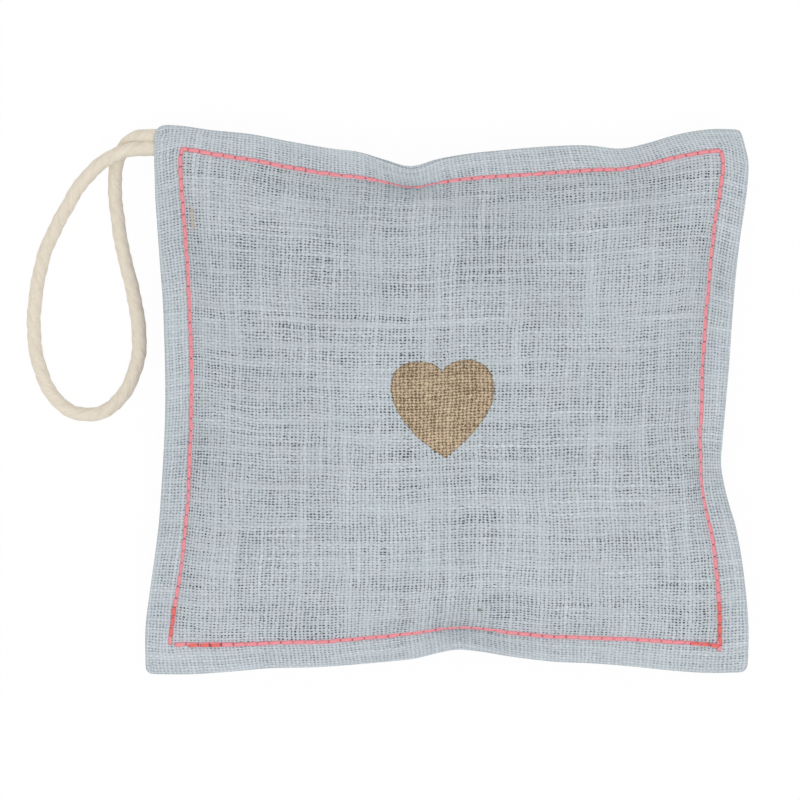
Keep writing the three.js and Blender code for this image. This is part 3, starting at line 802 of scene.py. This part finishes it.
def tube(line, across, up, half_width, half_height, sides, shape=1.0):
    """A closed tube: an oval, or a shape of turn and place, carried along a line and closed at both ends."""
    count = len(line)
    turn = np.arange(sides) / sides * 2 * np.pi
    wide = (np.cos(turn) * np.reshape(half_width, (-1, 1)) * shape)[..., None]
    high = (np.sin(turn) * np.reshape(half_height, (-1, 1)) * shape)[..., None]
    rings = line[:, None] + across[:, None] * wide + up[:, None] * high
    points = np.concatenate([rings.reshape(-1, 3), line[:1], line[-1:]])
    index = grid_index(count, sides)
    ahead = np.roll(index, -1, 1)
    first = np.stack([np.full(sides, count * sides), ahead[0], index[0]], -1)
    last = np.stack([np.full(sides, count * sides + 1), index[-1], ahead[-1]], -1)
    return points, [belts(index), first, last]


# The sewn outline


def seam_height(plan):
    """Height of the seam's middle: level along the sides, falling with the cube of x times y to a corner."""
    cloth = chosen("cloth")
    share = np.abs(plan[..., 0] * plan[..., 1]) / (cloth.width * cloth.height / 4 / MM**2)
    return SEAM_HEIGHT - CORNER_DROP * np.minimum(1, share**3)


def crowded(count):
    """Shares from -1 to 1 that lie closer at both ends: a line mixed with a sine."""
    t = np.linspace(-1, 1, count)
    return (1 - EDGE_CROWDING) * t + EDGE_CROWDING * np.sin(np.pi * t / 2)


def side_line(side, shares):
    """Fold and topstitching of one side in plan, with the fold's lift: straight between the two corners,
    each point then moved in by the side's drawn-in lines, eased so that both sides meet at a corner."""
    cloth = chosen("cloth")
    rows = SIDE_LINES[side]
    level = side in ("top", "bottom")
    out = 1 if side in ("top", "right") else -1
    half = np.array([cloth.width, cloth.height]) / 2 / MM
    run, reach = half if level else half[::-1]
    neighbours = ("left", "right") if level else ("bottom", "top")
    before, after = (SIDE_LINES[other][-1 if out > 0 else 0] for other in neighbours)
    t = (shares + 1) / 2
    lines = []
    for inset in (False, True):
        low = -run + before[1] + inset * before[2]
        high = run - after[1] - inset * after[2]
        at = low + (high - low) * t
        depth = drawn_line(at / run, rows, 1) + (drawn_line(at / run, rows, 2) if inset else 0)
        for end in (0, -1):
            corner = rows[end][1] + inset * rows[end][2]
            near = np.clip(1 - np.abs(shares - shares[end]) / CORNER_EASE, 0, 1)
            depth = depth + (corner - depth[end]) * near**2
        place = (at, out * (reach - depth))
        lines.append(np.stack(place if level else place[::-1], -1))
    return lines[0], lines[1], drawn_line(shares, rows, 3)


def rounded(fold):
    """The fold's ring with round corners: a point beyond a corner's circle is drawn back to it."""
    columns, rows = GRID
    for at, (way, radius) in zip(np.cumsum([0, columns - 1, rows - 1, columns - 1]), CORNERS):
        away = fold - (fold[at] - np.array(way) * radius)
        beyond = (away * way > 0).all(1)
        drawn = away * np.minimum(1, radius / np.linalg.norm(away, axis=1))[:, None]
        fold = np.where(beyond[:, None], fold - away + drawn, fold)
    return fold


def outline():
    """The rings of the topstitching and the fold, with the direction outwards and away from the seam at each
    place, and the square that the ring stands for."""
    if "outline" in made:
        return made["outline"]
    u, v = (crowded(count) for count in GRID)
    order = ("bottom", "right", "top", "left")
    sides = [side_line(side, u if side in ("top", "bottom") else v) for side in order]
    fold, stitched, lift = (round_trip(*lines) for lines in zip(*sides))
    fold = rounded(fold)
    inner = np.column_stack([stitched, seam_height(stitched)])
    outer = np.column_stack([fold, seam_height(fold) + lift])
    outwards = unit(outer - inner)
    along = unit(np.roll(inner, -1, 0) - np.roll(inner, 1, 0))
    away = unit(np.cross(outwards, along))
    square = edge_of(np.stack(np.meshgrid(u, v), -1))
    made["outline"] = inner, outer, outwards, away, square
    return made["outline"]


def border_breadth():
    """Mean distance from the topstitching to the fold."""
    inner, outer, _, _, _ = outline()
    return float(np.mean(np.linalg.norm(outer - inner, axis=1)))


def tail_line():
    """The middle of the two tucked-in cord ends: a curve from inside the corner to the stub outside."""
    turn = CORD_EXIT + (TAIL_TURN, 0)
    stub = CORD_EXIT - (CORD_STUB / 2, 0)
    end = turn + np.array([np.cos(TAIL_SLANT), -np.sin(TAIL_SLANT)]) * (TAIL_LENGTH - TAIL_TURN)
    t = np.linspace(0, 1, TAIL_POINTS)[:, None]
    return (1 - t) ** 2 * end + 2 * t * (1 - t) * turn + t**2 * stub


def cord_bulge(points):
    """How far the cord's tucked-in ends push a layer away from the seam, fading with distance from them."""
    gap = np.linalg.norm(points[..., None, :2] - tail_line(), axis=-1).min(-1)
    return TAIL_BULGE * (1 - ease(gap, *BULGE_FADE))


# The linen panels


def inflate(flat, ring, side):
    """Cloth simulation of one panel: the flat cut is drawn in to the sewn ring while the filling's load,
    straight up or down, swells it; ten times life size, and only the ring is held."""
    index = grid_index(*flat.shape[:2])
    mesh = bpy.data.meshes.new("panel_trial")
    mesh.from_pydata((flat.reshape(-1, 3) * TRIAL_SCALE).tolist(), [], quads(index).tolist())
    piece = bpy.data.objects.new("panel_trial", mesh)
    scene = bpy.context.scene
    own_gravity = tuple(scene.gravity)
    scene.gravity = (0, 0, side * chosen("cloth").load)
    scene.collection.objects.link(piece)
    edge = edge_of(index)
    piece.vertex_groups.new(name="sewn").add(edge.tolist(), 1.0, "REPLACE")
    piece.shape_key_add(name="flat")
    sewn = piece.shape_key_add(name="drawn_in")
    target = flat.reshape(-1, 3).copy()
    target[edge] = ring
    sewn.data.foreach_set("co", (target * TRIAL_SCALE).astype(np.float32).ravel())
    for value, at in ((0, 1), (1, DRAW_FRAMES)):
        sewn.value = value
        sewn.keyframe_insert("value", frame=at)
    modifier = piece.modifiers.new("Cloth", "CLOTH")
    modifier.settings.vertex_group_mass = "sewn"
    for key, value in CLOTH_TRIAL.items():
        setattr(modifier.settings, key, value)
    modifier.collision_settings.use_collision = False
    modifier.point_cache.frame_start = 1
    modifier.point_cache.frame_end = SETTLE_FRAMES
    for at in range(1, SETTLE_FRAMES + 1):
        scene.frame_set(at)
    evaluated = piece.evaluated_get(bpy.context.evaluated_depsgraph_get())
    result = evaluated.to_mesh()
    points = np.empty(len(result.vertices) * 3, np.float32)
    result.vertices.foreach_get("co", points)
    evaluated.to_mesh_clear()
    action = mesh.shape_keys.animation_data.action
    bpy.data.objects.remove(piece)
    bpy.data.meshes.remove(mesh)
    bpy.data.actions.remove(action)
    scene.frame_set(1)
    scene.gravity = own_gravity
    return points.reshape(flat.shape).astype(float) / TRIAL_SCALE


def lumps(u, v):
    """Soft lumps of the filling: a sum of slanting sines with seeded directions, about 1 high."""
    dice = np.random.default_rng(SEEDS["lumps"])
    total = 0
    for wave in LUMP_WAVES:
        turn, phase = dice.uniform(0, 2 * np.pi, 2)
        slant = u * np.cos(turn) + v * np.sin(turn)
        total = total + np.sin(2 * np.pi * slant / wave + phase) * wave / LUMP_WAVES[0]
    return total / 2


def drawn_patch(ring):
    """A surface between the sides of a ring: the sum of both ways across less the corners' own patch."""
    columns, rows = GRID
    bottom = ring[:columns]
    right = ring[columns - 1:columns + rows - 1]
    top = ring[columns + rows - 2:2 * columns + rows - 2][::-1]
    left = np.concatenate([ring[2 * columns + rows - 3:], ring[:1]])[::-1]
    s = (crowded(columns)[None, :, None] + 1) / 2
    t = (crowded(rows)[:, None, None] + 1) / 2
    low_corners = (1 - s) * (1 - t) * bottom[0] + s * (1 - t) * bottom[-1]
    corners = low_corners + (1 - s) * t * top[0] + s * t * top[-1]
    return (1 - t) * bottom[None] + t * top[None] + (1 - s) * left[:, None] + s * right[:, None] - corners


def grid_normals(points):
    """Upward normals of a grid: the cross of its two differences."""
    return unit(np.cross(np.gradient(points, axis=1), np.gradient(points, axis=0)))


def panel_crown(side):
    """The swollen part of a panel inside the topstitching, as a grid of points: simulated, given soft lumps
    that fade at the sewn ring, and pressed level on the floor where it is the back one."""
    key = ("crown", side)
    if key in made:
        return made[key]
    inner, _, _, away, _ = outline()
    ring = inner + side * away * (PRESSED + cord_bulge(inner))[:, None]
    share_u, share_v = np.meshgrid(*(crowded(count) for count in GRID))
    dome = (1 - share_u**2) * (1 - share_v**2)
    flat_u = share_u * FLAT_HALF[0]
    flat_v = share_v * FLAT_HALF[1]
    flat = np.stack([flat_u, flat_v, SEAM_HEIGHT + side * FIRST_DOME * dome], -1)
    flat[..., 2] += np.random.default_rng(SEEDS["cut"]).normal(0, UNEVENNESS, dome.shape)
    patch = drawn_patch(ring)
    slack = flat.copy()
    slack[..., :2] += (patch - flat)[..., :2] * CUT_SHARE
    points = inflate(slack, ring, side)
    raised = LUMP_HEIGHT * lumps(flat_u, flat_v + LUMP_SHIFT * side) * ease(dome, 0, LUMP_FADE)
    points = points + grid_normals(points) * side * raised[..., None]
    if side < 0:
        floor = chosen("cloth").thickness / MM / 2
        points[..., 2] = floor + np.logaddexp(0, (points[..., 2] - floor) / FLOOR_SOFTNESS) * FLOOR_SOFTNESS
    made[key] = points
    return points


def on_panel(side, flat_u, flat_v):
    """Points and outward normals of a panel at places of its flat cut, straight between grid points."""
    points = panel_crown(side)
    normals = grid_normals(points) * side
    columns, rows = GRID
    i = np.interp(flat_u / FLAT_HALF[0], crowded(columns), np.arange(columns))
    j = np.interp(flat_v / FLAT_HALF[1], crowded(rows), np.arange(rows))
    low_i = np.minimum(i.astype(int), columns - 2)
    low_j = np.minimum(j.astype(int), rows - 2)
    s = (i - low_i)[..., None]
    t = (j - low_j)[..., None]

    def between(grid):
        lower = grid[low_j, low_i] * (1 - s) + grid[low_j, low_i + 1] * s
        upper = grid[low_j + 1, low_i] * (1 - s) + grid[low_j + 1, low_i + 1] * s
        return lower * (1 - t) + upper * t

    return between(points), unit(between(normals))


def panel_surface(side):
    """One whole panel as a single sheet: the crown's grid, then rings from the topstitching out over the
    border, round the fold and back inside as the hem. Returns points, faces and places on the flat cut."""
    crown = panel_crown(side)
    inner, outer, outwards, away, square = outline()
    breadth = np.linalg.norm(outer - inner, axis=1)[:, None]
    bulge_in = cord_bulge(inner)[:, None]
    bulge_out = cord_bulge(inner + (outer - inner) / 2)[:, None]
    radius = (FOLD_LEVEL - HEM_LEVEL) / 2
    middle = (FOLD_LEVEL + HEM_LEVEL) / 2
    level_side = (np.abs(square[:, 1]) >= 1 - 1e-9)[:, None]
    border = border_breadth()
    rings = []
    maps = []

    def ring_at(q, level):
        change = ease(q, 0, BULGE_CHANGE)
        rise = level + bulge_in * (1 - change) + bulge_out * change
        return inner + outwards * (breadth - radius) * q + side * away * rise

    def turned_in(back):
        return square * (FLAT_HALF + border + np.where(level_side, (-back, back), (back, -back)))

    for q in BORDER_RINGS:
        swell = BORDER_SWELL * np.sin(np.pi * q**SWELL_POWER)
        rings.append(ring_at(q, PRESSED + (FOLD_LEVEL - PRESSED) * ease(q, 0, 1) + swell))
        maps.append(square * (FLAT_HALF + border * q))
    for turn in np.radians(FOLD_TURNS):
        rings.append(ring_at(1.0, middle + radius * np.sin(turn)) + outwards * radius * np.cos(turn))
        maps.append(square * (FLAT_HALF + border + radius * (np.pi / 2 - turn)))
    for q in HEM_RINGS:
        rings.append(ring_at(q, HEM_LEVEL))
        maps.append(turned_in(border * (1 - q)))
    for depth in np.linspace(HEM_START, chosen("cloth").hem / MM - border, HEM_STEPS):
        points, normals = on_panel(side, *(square * (FLAT_HALF - depth)).T)
        rings.append(points - normals * HEM_DEPTH)
        maps.append(turned_in(border + depth))

    index = grid_index(*crown.shape[:2])
    loop = edge_of(index)
    faces = [quads(index)]
    for following in index.size + grid_index(len(rings), len(loop)):
        faces.append(np.stack([loop, following, np.roll(following, -1), np.roll(loop, -1)], -1))
        loop = following
    if side < 0:
        faces = [part[:, ::-1] for part in faces]
    shares = np.stack(np.meshgrid(*(crowded(count) for count in GRID)), -1).reshape(-1, 2)
    return np.concatenate([crown.reshape(-1, 3), *rings]), faces, np.concatenate([shares * FLAT_HALF, *maps])


# The heart, the threads, the cord and the filling


def heart_edge(half_width, half_height):
    """The heart's outline at even steps: two mirrored pairs of cubic arcs, then a ragged edge and a lean."""
    arcs = HEART_ARCS * (half_width, half_height)
    notch = arcs[0, 0, 1]
    t = np.linspace(0, 1, ARC_POINTS)[:-1, None]
    weights = ((1 - t) ** 3, 3 * t * (1 - t) ** 2, 3 * t**2 * (1 - t), t**3)
    half = np.concatenate([sum(weight * point for weight, point in zip(weights, arc)) for arc in arcs])
    edge = np.concatenate([half, [[0, -half_height]], half[:0:-1] * (-1, 1)])
    edge, _ = resampled(np.concatenate([edge, edge[:1]]), HEART_STEP)
    edge = edge[:-1]
    ragged = np.random.default_rng(SEEDS["heart"]).normal(0, INK_RAGGEDNESS, (len(edge), 1))
    lean = np.stack([(notch - edge[:, 1]) * HEART_LEAN[0], edge[:, 0] * HEART_LEAN[1]], -1)
    return edge + unit(edge) * ragged + lean


def stitch_run(line, away, shift, tack, seed):
    """One thread along a line of stitches: it comes up at each needle hole, lies plump and a bit slanting on
    the cloth, and goes down at the next; a tack lies higher. Returns points, faces and point values."""
    thread = chosen("thread")
    run = lengths(line)
    stitches = max(1, int(round(run[-1] / (thread.stitch / MM))))
    at = np.append((np.arange(stitches)[:, None] + np.array(STITCH_RINGS)).ravel(), stitches)
    part = at - np.floor(at)
    from_hole = np.minimum(part, 1 - part)
    distance = at / stitches * run[-1]
    spot = at_lengths(line, run, distance)
    across, up = frames_along(spot, unit(at_lengths(away, run, distance)))
    plump = ease(from_hole, 0, STITCH_SWELL) ** 0.5
    dice = np.random.default_rng(seed)
    holes = np.arange(stitches + 1)
    jitter = np.interp(at, holes, dice.normal(0, 1, len(holes)))
    swell = np.interp(at, holes, dice.normal(0, 1, len(holes)))
    rise = HOLE_LEVEL + TACK_RISE * tack + (STITCH_RISE + TACK_SWELL * tack) * plump
    aside = shift + STITCH_WANDER * jitter + STITCH_SLANT * (part - 0.5) * plump
    spot = spot + up * rise[:, None] + across * aside[:, None]
    share = HOLE_WIDTH + (1 - HOLE_WIDTH) * plump + THREAD_UNEVENNESS * swell
    size = thread.width / 2 / MM * share * (1 - TACK_THINNING * tack)
    points, faces = tube(spot, across, up, size, size * THREAD_FLATNESS, THREAD_SIDES)
    turn = np.arange(THREAD_SIDES) / THREAD_SIDES
    ply = np.stack([*np.meshgrid(distance, turn, indexing="ij"), np.zeros((len(at), THREAD_SIDES))], -1)
    # Painted shade at each needle hole, fading along the stitch.
    deep = np.clip(DIP_DEPTH + DIP_SPREAD * dice.normal(0, 1, len(holes)) + tack, DIP_LEAST, 1)
    dip = deep[np.round(at).astype(int)] * (1 - ease(from_hole, *(TACK_DIP_FADE if tack else DIP_FADE)))
    values = {
        "ply": np.concatenate([ply.reshape(-1, 3), np.zeros((2, 3))]),
        "dip": np.concatenate([np.repeat(dip, THREAD_SIDES), [END_DIP, END_DIP]]),
        "tack": np.full(len(points), float(tack)),
    }
    return points, faces, values


def joined(parts):
    """Several meshes as one: the points and values put together, the faces renumbered."""
    start = 0
    faces = []
    for points, own, _ in parts:
        faces += [part + start for part in own]
        start += len(points)
    values = {key: np.concatenate([part[2][key] for part in parts]) for key in parts[0][2]}
    return np.concatenate([part[0] for part in parts]), faces, values


def cord_line():
    """The middle of the cord, from one tucked-in end round the loop to the other, and its distances: a curve
    through both ends and the route, smoothed, at even steps."""
    radius = chosen("cord").diameter / 2 / MM
    tail = tail_line()
    slope = unit(np.gradient(tail, axis=0))
    root = CORD_EXIT - (CORD_STUB, 0)
    settle = ease(np.arange(1 - TAIL_POINTS, 1), -LEVELLING_STEPS, 0)
    ends = []
    for offset in (-CORD_SPACING / 2, CORD_SPACING / 2):
        plan = tail + np.stack([slope[:, 1], -slope[:, 0]], -1) * offset
        stub = root + (-STUB_PAST, offset)
        height = seam_height(plan) * (1 - settle) + seam_height(stub) * settle
        ends.append(np.column_stack([np.vstack([plan, stub]), np.append(height, seam_height(stub))]))
    route = CORD_ROUTE + (*root, radius)
    route[-3:-1] += CROSSING_PULL
    line, _ = resampled(smooth_route(np.concatenate([ends[0], route, ends[1][::-1]])), CORD_STEP)
    for _ in range(CORD_SMOOTHING):
        line[1:-1] = (line[:-2] + 2 * line[1:-1] + line[2:]) / 4
    return resampled(line, CORD_STEP)


def bud_heights(place, spots, turns):
    """Long domes on a jittered grid, each at its own turn: every point takes the highest bud there."""
    base = np.floor(place).astype(int)
    best = np.zeros(place.shape[:2])
    for step in np.ndindex(3, 3):
        near = base + step - 1
        row = near[..., 1] % BUD_PLACES
        column = near[..., 0] % BUD_PLACES
        gap = place - near - spots[row, column]
        cosine = np.cos(turns[row, column])
        sine = np.sin(turns[row, column])
        length = ((gap[..., 0] * cosine + gap[..., 1] * sine) / BUD_HALF[0]) ** 2
        breadth = ((gap[..., 1] * cosine - gap[..., 0] * sine) / BUD_HALF[1]) ** 2
        best = np.maximum(best, np.sqrt(np.clip(1 - length - breadth, 0, 1)))
    return best


# Operators


class SACHET_OT_stage(bpy.types.Operator):
    """Set up the camera, the floor and the light"""

    bl_idname = "sachet.stage"
    bl_label = "Stage"

    def execute(self, context):
        stage = chosen("stage")
        scene = context.scene
        camera = bpy.data.cameras.new("camera")
        camera.sensor_width = SENSOR
        camera.lens = SENSOR * (stage.distance - VIEW_LEVEL * MM) / stage.view_width
        camera.clip_end = 100
        viewer = bpy.data.objects.new("camera", camera)
        viewer.location = (CAMERA_PLACE[0] * MM, CAMERA_PLACE[1] * MM, stage.distance)
        scene.collection.objects.link(viewer)
        scene.camera = viewer

        paper = Recipe("white_floor")
        diffuse = paper.add("ShaderNodeBsdfDiffuse", None, {"Color": stage.floor_colour})
        white = paper.add("ShaderNodeEmission", None, {"Color": WHITE, "Strength": 1.0})
        share = paper.in_view() * FLOOR_WHITE
        surface = paper.add("ShaderNodeMixShader", None, {0: share, 1: diffuse, 2: white})
        paper.add("ShaderNodeOutputMaterial", None, {"Surface": surface})
        corners = np.array([(-1, -1), (1, -1), (1, 1), (-1, 1)]) * FLOOR_HALF
        corners = np.column_stack([corners, np.full(4, FLOOR_LEVEL)])
        put_mesh("floor", corners, [np.arange(4)[None]], paper.holder, smooth=False)

        studio = Recipe("studio", bpy.data.worlds)
        fill = studio.add("ShaderNodeBackground", None, {"Color": WHITE, "Strength": stage.light})
        plain = studio.add("ShaderNodeBackground", None, {"Color": WHITE, "Strength": 1.0})
        both = studio.add("ShaderNodeMixShader", None, {0: studio.in_view(), 1: fill, 2: plain})
        studio.add("ShaderNodeOutputWorld", None, {"Surface": both})
        scene.world = studio.holder
        lamp = bpy.data.lights.new("window", "AREA")
        lamp.shape = "DISK"
        lamp.size = LAMP_SIZE
        lamp.energy = stage.lamp
        window = bpy.data.objects.new("window", lamp)
        window.location = LAMP_PLACE
        window.rotation_euler = window.location.to_track_quat("Z", "Y").to_euler()
        scene.collection.objects.link(window)
        scene.view_settings.view_transform = "Standard"
        return {"FINISHED"}


class SACHET_OT_cord(bpy.types.Operator):
    """Twist and lay the cotton cord of the hanging loop"""

    bl_idname = "sachet.cord"
    bl_label = "Hanging cord"

    def execute(self, context):
        """Its section is a circle with a shallow groove between every two strands, which go once round in
        each lay; it is flattened where it is sewn in, and rests on the floor."""
        cord = chosen("cord")
        radius = cord.diameter / 2 / MM
        line, run = cord_line()
        across, up = frames_along(line, np.array([0, 0, 1.0]))
        inwards = line[:, 0] - (CORD_EXIT[0] - CORD_STUB)
        sewn = ease(inwards, *FLATTENING)
        wider = ease(inwards, *WIDENING)
        blunt = np.clip(np.sqrt(np.minimum(run, run[-1] - run) / BLUNT_END), BLUNT_LEAST, 1)
        width = (radius * (1 - wider) + TAIL_HALF[0] * wider) * blunt
        height = (radius * (1 - sewn) + TAIL_HALF[1] * sewn) * blunt
        turn = np.arange(CORD_SIDES)[None] / CORD_SIDES * 2 * np.pi
        place = run[:, None]
        in_strand = turn + 2 * np.pi * place / (cord.lay / MM)
        groove = (1 - np.abs(np.cos(STRANDS / 2 * in_strand))) ** 3
        waves = np.sin(place * SLOW_WAVE + turn) + np.sin(place * QUICK_WAVE - 2 * turn)
        shape = (CORD_FULLNESS - GROOVE_DEPTH * groove) * (1 + CORD_UNEVENNESS * waves)
        points, faces = tube(line, across, up, width, height, CORD_SIDES, shape)
        points[:, 2] = np.maximum(points[:, 2], CORD_FLOOR)
        strand = np.stack([np.cos(in_strand), np.sin(in_strand), np.broadcast_to(place, groove.shape)], -1)
        values = {
            "strand": np.concatenate([strand.reshape(-1, 3), np.zeros((2, 3))]),
            "groove": np.concatenate([groove.ravel(), np.zeros(2)]),
        }
        piece = put_mesh("cotton_cord", points, faces, cotton(), values=values)
        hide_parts("hanging_loop", "loop_tail_upper", "loop_tail_lower")
        first_half = line[:len(line) // 2]
        exit_point = first_half[np.argmin(np.abs(first_half[:, 0] - CORD_EXIT[0]))] * MM
        root = np.append(CORD_EXIT, exit_point[2] / MM)
        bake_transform(piece)
        return {"FINISHED"}


class SACHET_OT_panels(bpy.types.Operator):
    """Sew and fill the two linen panels"""

    bl_idname = "sachet.panels"
    bl_label = "Linen panels"

    def execute(self, context):
        cloth = chosen("cloth")
        for node, side in (("front_panel", 1), ("back_panel", -1)):
            points, faces, places = panel_surface(side)
            piece = put_mesh(f"linen_{node}", points, faces, linen(), uv=places)
            thicken(piece, cloth.thickness)
            put_on_sachet(piece, node)
        return {"FINISHED"}


class SACHET_OT_heart(bpy.types.Operator):
    """Print the heart on the front panel"""

    bl_idname = "sachet.heart"
    bl_label = "Printed heart"

    def execute(self, context):
        """Rings from the middle to the heart's outline, laid on the panel."""
        heart = chosen("heart")
        edge = heart_edge(heart.width / 2 / MM, heart.height / 2 / MM)
        shares = np.linspace(0, 1, HEART_RINGS + 1)[1:]
        places = np.concatenate([[[0, 0]], (shares[:, None, None] * edge).reshape(-1, 2)]) + HEART_PLACE
        points, normals = on_panel(1, *places.T)
        index = 1 + grid_index(len(shares), len(edge))
        centre = np.stack([np.zeros(len(edge), int), np.roll(index[0], -1), index[0]], -1)
        raised = points + normals * (chosen("cloth").thickness / MM / 2 + INK_LIFT)
        piece = put_mesh("gold_heart", raised, [centre, belts(index)], gold_ink(), uv=places)
        thicken(piece, INK_THICKNESS * MM)
        put_on_sachet(piece, "printed_heart")
        return {"FINISHED"}


class SACHET_OT_topstitching(bpy.types.Operator):
    """Sew the two runs of coral topstitching, needle and bobbin threads"""

    bl_idname = "sachet.topstitching"
    bl_label = "Topstitching"

    def execute(self, context):
        """Each run follows the sewn ring on the outside of its panel and is sewn over again at both ends."""
        inner, _, _, away, _ = outline()
        level = PRESSED + cord_bulge(inner) + chosen("cloth").thickness / MM / 2
        columns = GRID[0]
        order = np.arange(len(inner) + 1) % len(inner)
        runs = {"closing": order[:columns], "side": order[columns - 1:][::-1]}
        finish = coral_thread()
        for side, kind in ((1, "needle"), (-1, "bobbin")):
            ring = inner + side * away * level[:, None]
            for name, places in runs.items():
                bare, past, first, last, shift = RUNS[name]
                line = ring[places]
                line = np.vstack([line, line[-1] + unit(line[-1] - line[-2]) * max(past, LEAST_PAST)])
                up = side * away[np.append(places, places[-1])]
                run = lengths(line)
                at = np.linspace(bare, run[-1], 2 * len(line))
                line = at_lengths(line, run, at)
                up = at_lengths(up, run, at)
                parts = [stitch_run(line, up, 0.0, 0, SEEDS["stitches"])]
                starts = (bare + first[0], run[-1] - last[0])
                ends = (bare + first[1], run[-1] - last[1])
                for seed, start, end in zip(SEEDS["tacks"], starts, ends):
                    there = (at >= start) & (at <= end)
                    parts.append(stitch_run(line[there], up[there], shift, 1, seed))
                points, faces, values = joined(parts)
                piece = put_mesh(f"coral_{name}_{kind}_thread", points, faces, finish, values=values)
                put_on_sachet(piece, f"{name}_topstitch_{kind}_thread")
        return {"FINISHED"}


class SACHET_OT_seam(bpy.types.Operator):
    """Sew the hidden seam that joins the two hems inside the fold"""

    bl_idname = "sachet.seam"
    bl_label = "Seam threads"

    def execute(self, context):
        """Two threads, one on either side of the cord, follow the fold midway between the hems."""
        _, outer, outwards, away, _ = outline()
        columns, rows = GRID
        corner = 2 * columns + rows - 3
        order = np.arange(len(outer) + 1) % len(outer)
        finish = seam_thread()
        for name, places in (("left", order[corner:]), ("top_right", order[columns - 1:corner + 1])):
            from_corner = np.linalg.norm((outer[places] - outer[corner])[:, :2], axis=1)
            places = places[from_corner > SEAM_CORD_OPENING]
            line = outer[places] - outwards[places] * SEAM_INSET
            points, faces = tube(line, *frames_along(line, away[places]), *SEAM_HALF, SEAM_SIDES)
            piece = put_mesh(f"seam_thread_{name}", points, faces, finish)
            put_on_sachet(piece, f"inside_seam_thread_{name}")
        return {"FINISHED"}


class SACHET_OT_filling(bpy.types.Operator):
    """Heap the dried lavender between the panels"""

    bl_idname = "sachet.filling"
    bl_label = "Lavender filling"

    def execute(self, context):
        """Both faces follow the panels, a gap inside them, are dented between the buds, and draw together
        to a rounded rim."""
        filling = chosen("filling")
        cloth = chosen("cloth")
        p, q = np.meshgrid(*(np.sin(np.linspace(-1, 1, count) * np.pi / 2) for count in FILLING_GRID))
        flat = np.stack([p, q], -1) * (FLAT_HALF - (cloth.hem / MM - BORDER_WIDTH) - HEM_ROOM)
        depth = cloth.thickness / MM / 2 + filling.gap / MM
        panels = {side: on_panel(side, flat[..., 0], flat[..., 1]) for side in (1, -1)}
        inside = {side: points - normals * depth for side, (points, normals) in panels.items()}
        middle = (inside[1] + inside[-1]) / 2
        rim = np.sqrt(np.clip(1 - np.maximum(np.abs(p), np.abs(q)) ** RIM_POWER, 0, 1))
        dice = np.random.default_rng(SEEDS["buds"])
        spots = dice.uniform(*BUD_RANGE, (BUD_PLACES, BUD_PLACES, 2))
        turns = dice.uniform(0, np.pi, (BUD_PLACES, BUD_PLACES))
        sheets = []
        for side, start in BUD_STARTS.items():
            heights = bud_heights(flat / (filling.bud / MM) + start, spots, turns)
            dents = (1 - heights) * BUD_HEIGHT * np.minimum(1, rim * DENT_GROWTH)
            full = middle + (inside[side] - middle) * rim[..., None]
            sheets.append((full - panels[side][1] * dents[..., None]).reshape(-1, 3))
        index = grid_index(*p.shape)
        edge = edge_of(index)
        under = index + index.size
        under.ravel()[edge] = edge
        points = np.concatenate(sheets)
        points[edge] = (points[edge] + points[edge + index.size]) / 2
        used, faces = np.unique(np.concatenate([quads(index), quads(under)[:, ::-1]]), return_inverse=True)
        piece = put_mesh("lavender_buds", points[used], [faces.reshape(-1, 4)], lavender())
        put_on_sachet(piece, "lavender_filling")
        return {"FINISHED"}


class SACHET_PT_sidebar(bpy.types.Panel):
    """Lists the settings and pieces of the sachet"""

    bl_idname = "SACHET_PT_sidebar"
    bl_label = "Lavender sachet"
    bl_space_type = "VIEW_3D"
    bl_region_type = "UI"
    bl_category = "Sachet"

    def draw(self, context):
        for operator in OPERATORS:
            self.layout.operator(operator.bl_idname)
        for name, group in SETTINGS.items():
            box = self.layout.box()
            box.label(text=group.__doc__)
            for field in group.__annotations__:
                box.prop(getattr(context.scene, name), field)


OPERATORS = (
    SACHET_OT_stage, SACHET_OT_cord, SACHET_OT_panels, SACHET_OT_heart, SACHET_OT_topstitching,
    SACHET_OT_seam, SACHET_OT_filling,
)
CLASSES = (*SETTINGS.values(), *OPERATORS, SACHET_PT_sidebar)


def register():
    for cls in CLASSES:
        bpy.utils.register_class(cls)
    for name, group in SETTINGS.items():
        setattr(bpy.types.Scene, name, PointerProperty(type=group))


def unregister():
    for name in SETTINGS:
        delattr(bpy.types.Scene, name)
    for cls in reversed(CLASSES):
        bpy.utils.unregister_class(cls)


def main():
    """Registers the classes and makes every piece in order."""
    register()
    bpy.ops.sachet.stage()
    bpy.ops.sachet.cord()
    bpy.ops.sachet.panels()
    bpy.ops.sachet.heart()
    bpy.ops.sachet.topstitching()
    bpy.ops.sachet.seam()
    bpy.ops.sachet.filling()
    bpy.context.view_layer.update()


if __name__ == "__main__":
    main()
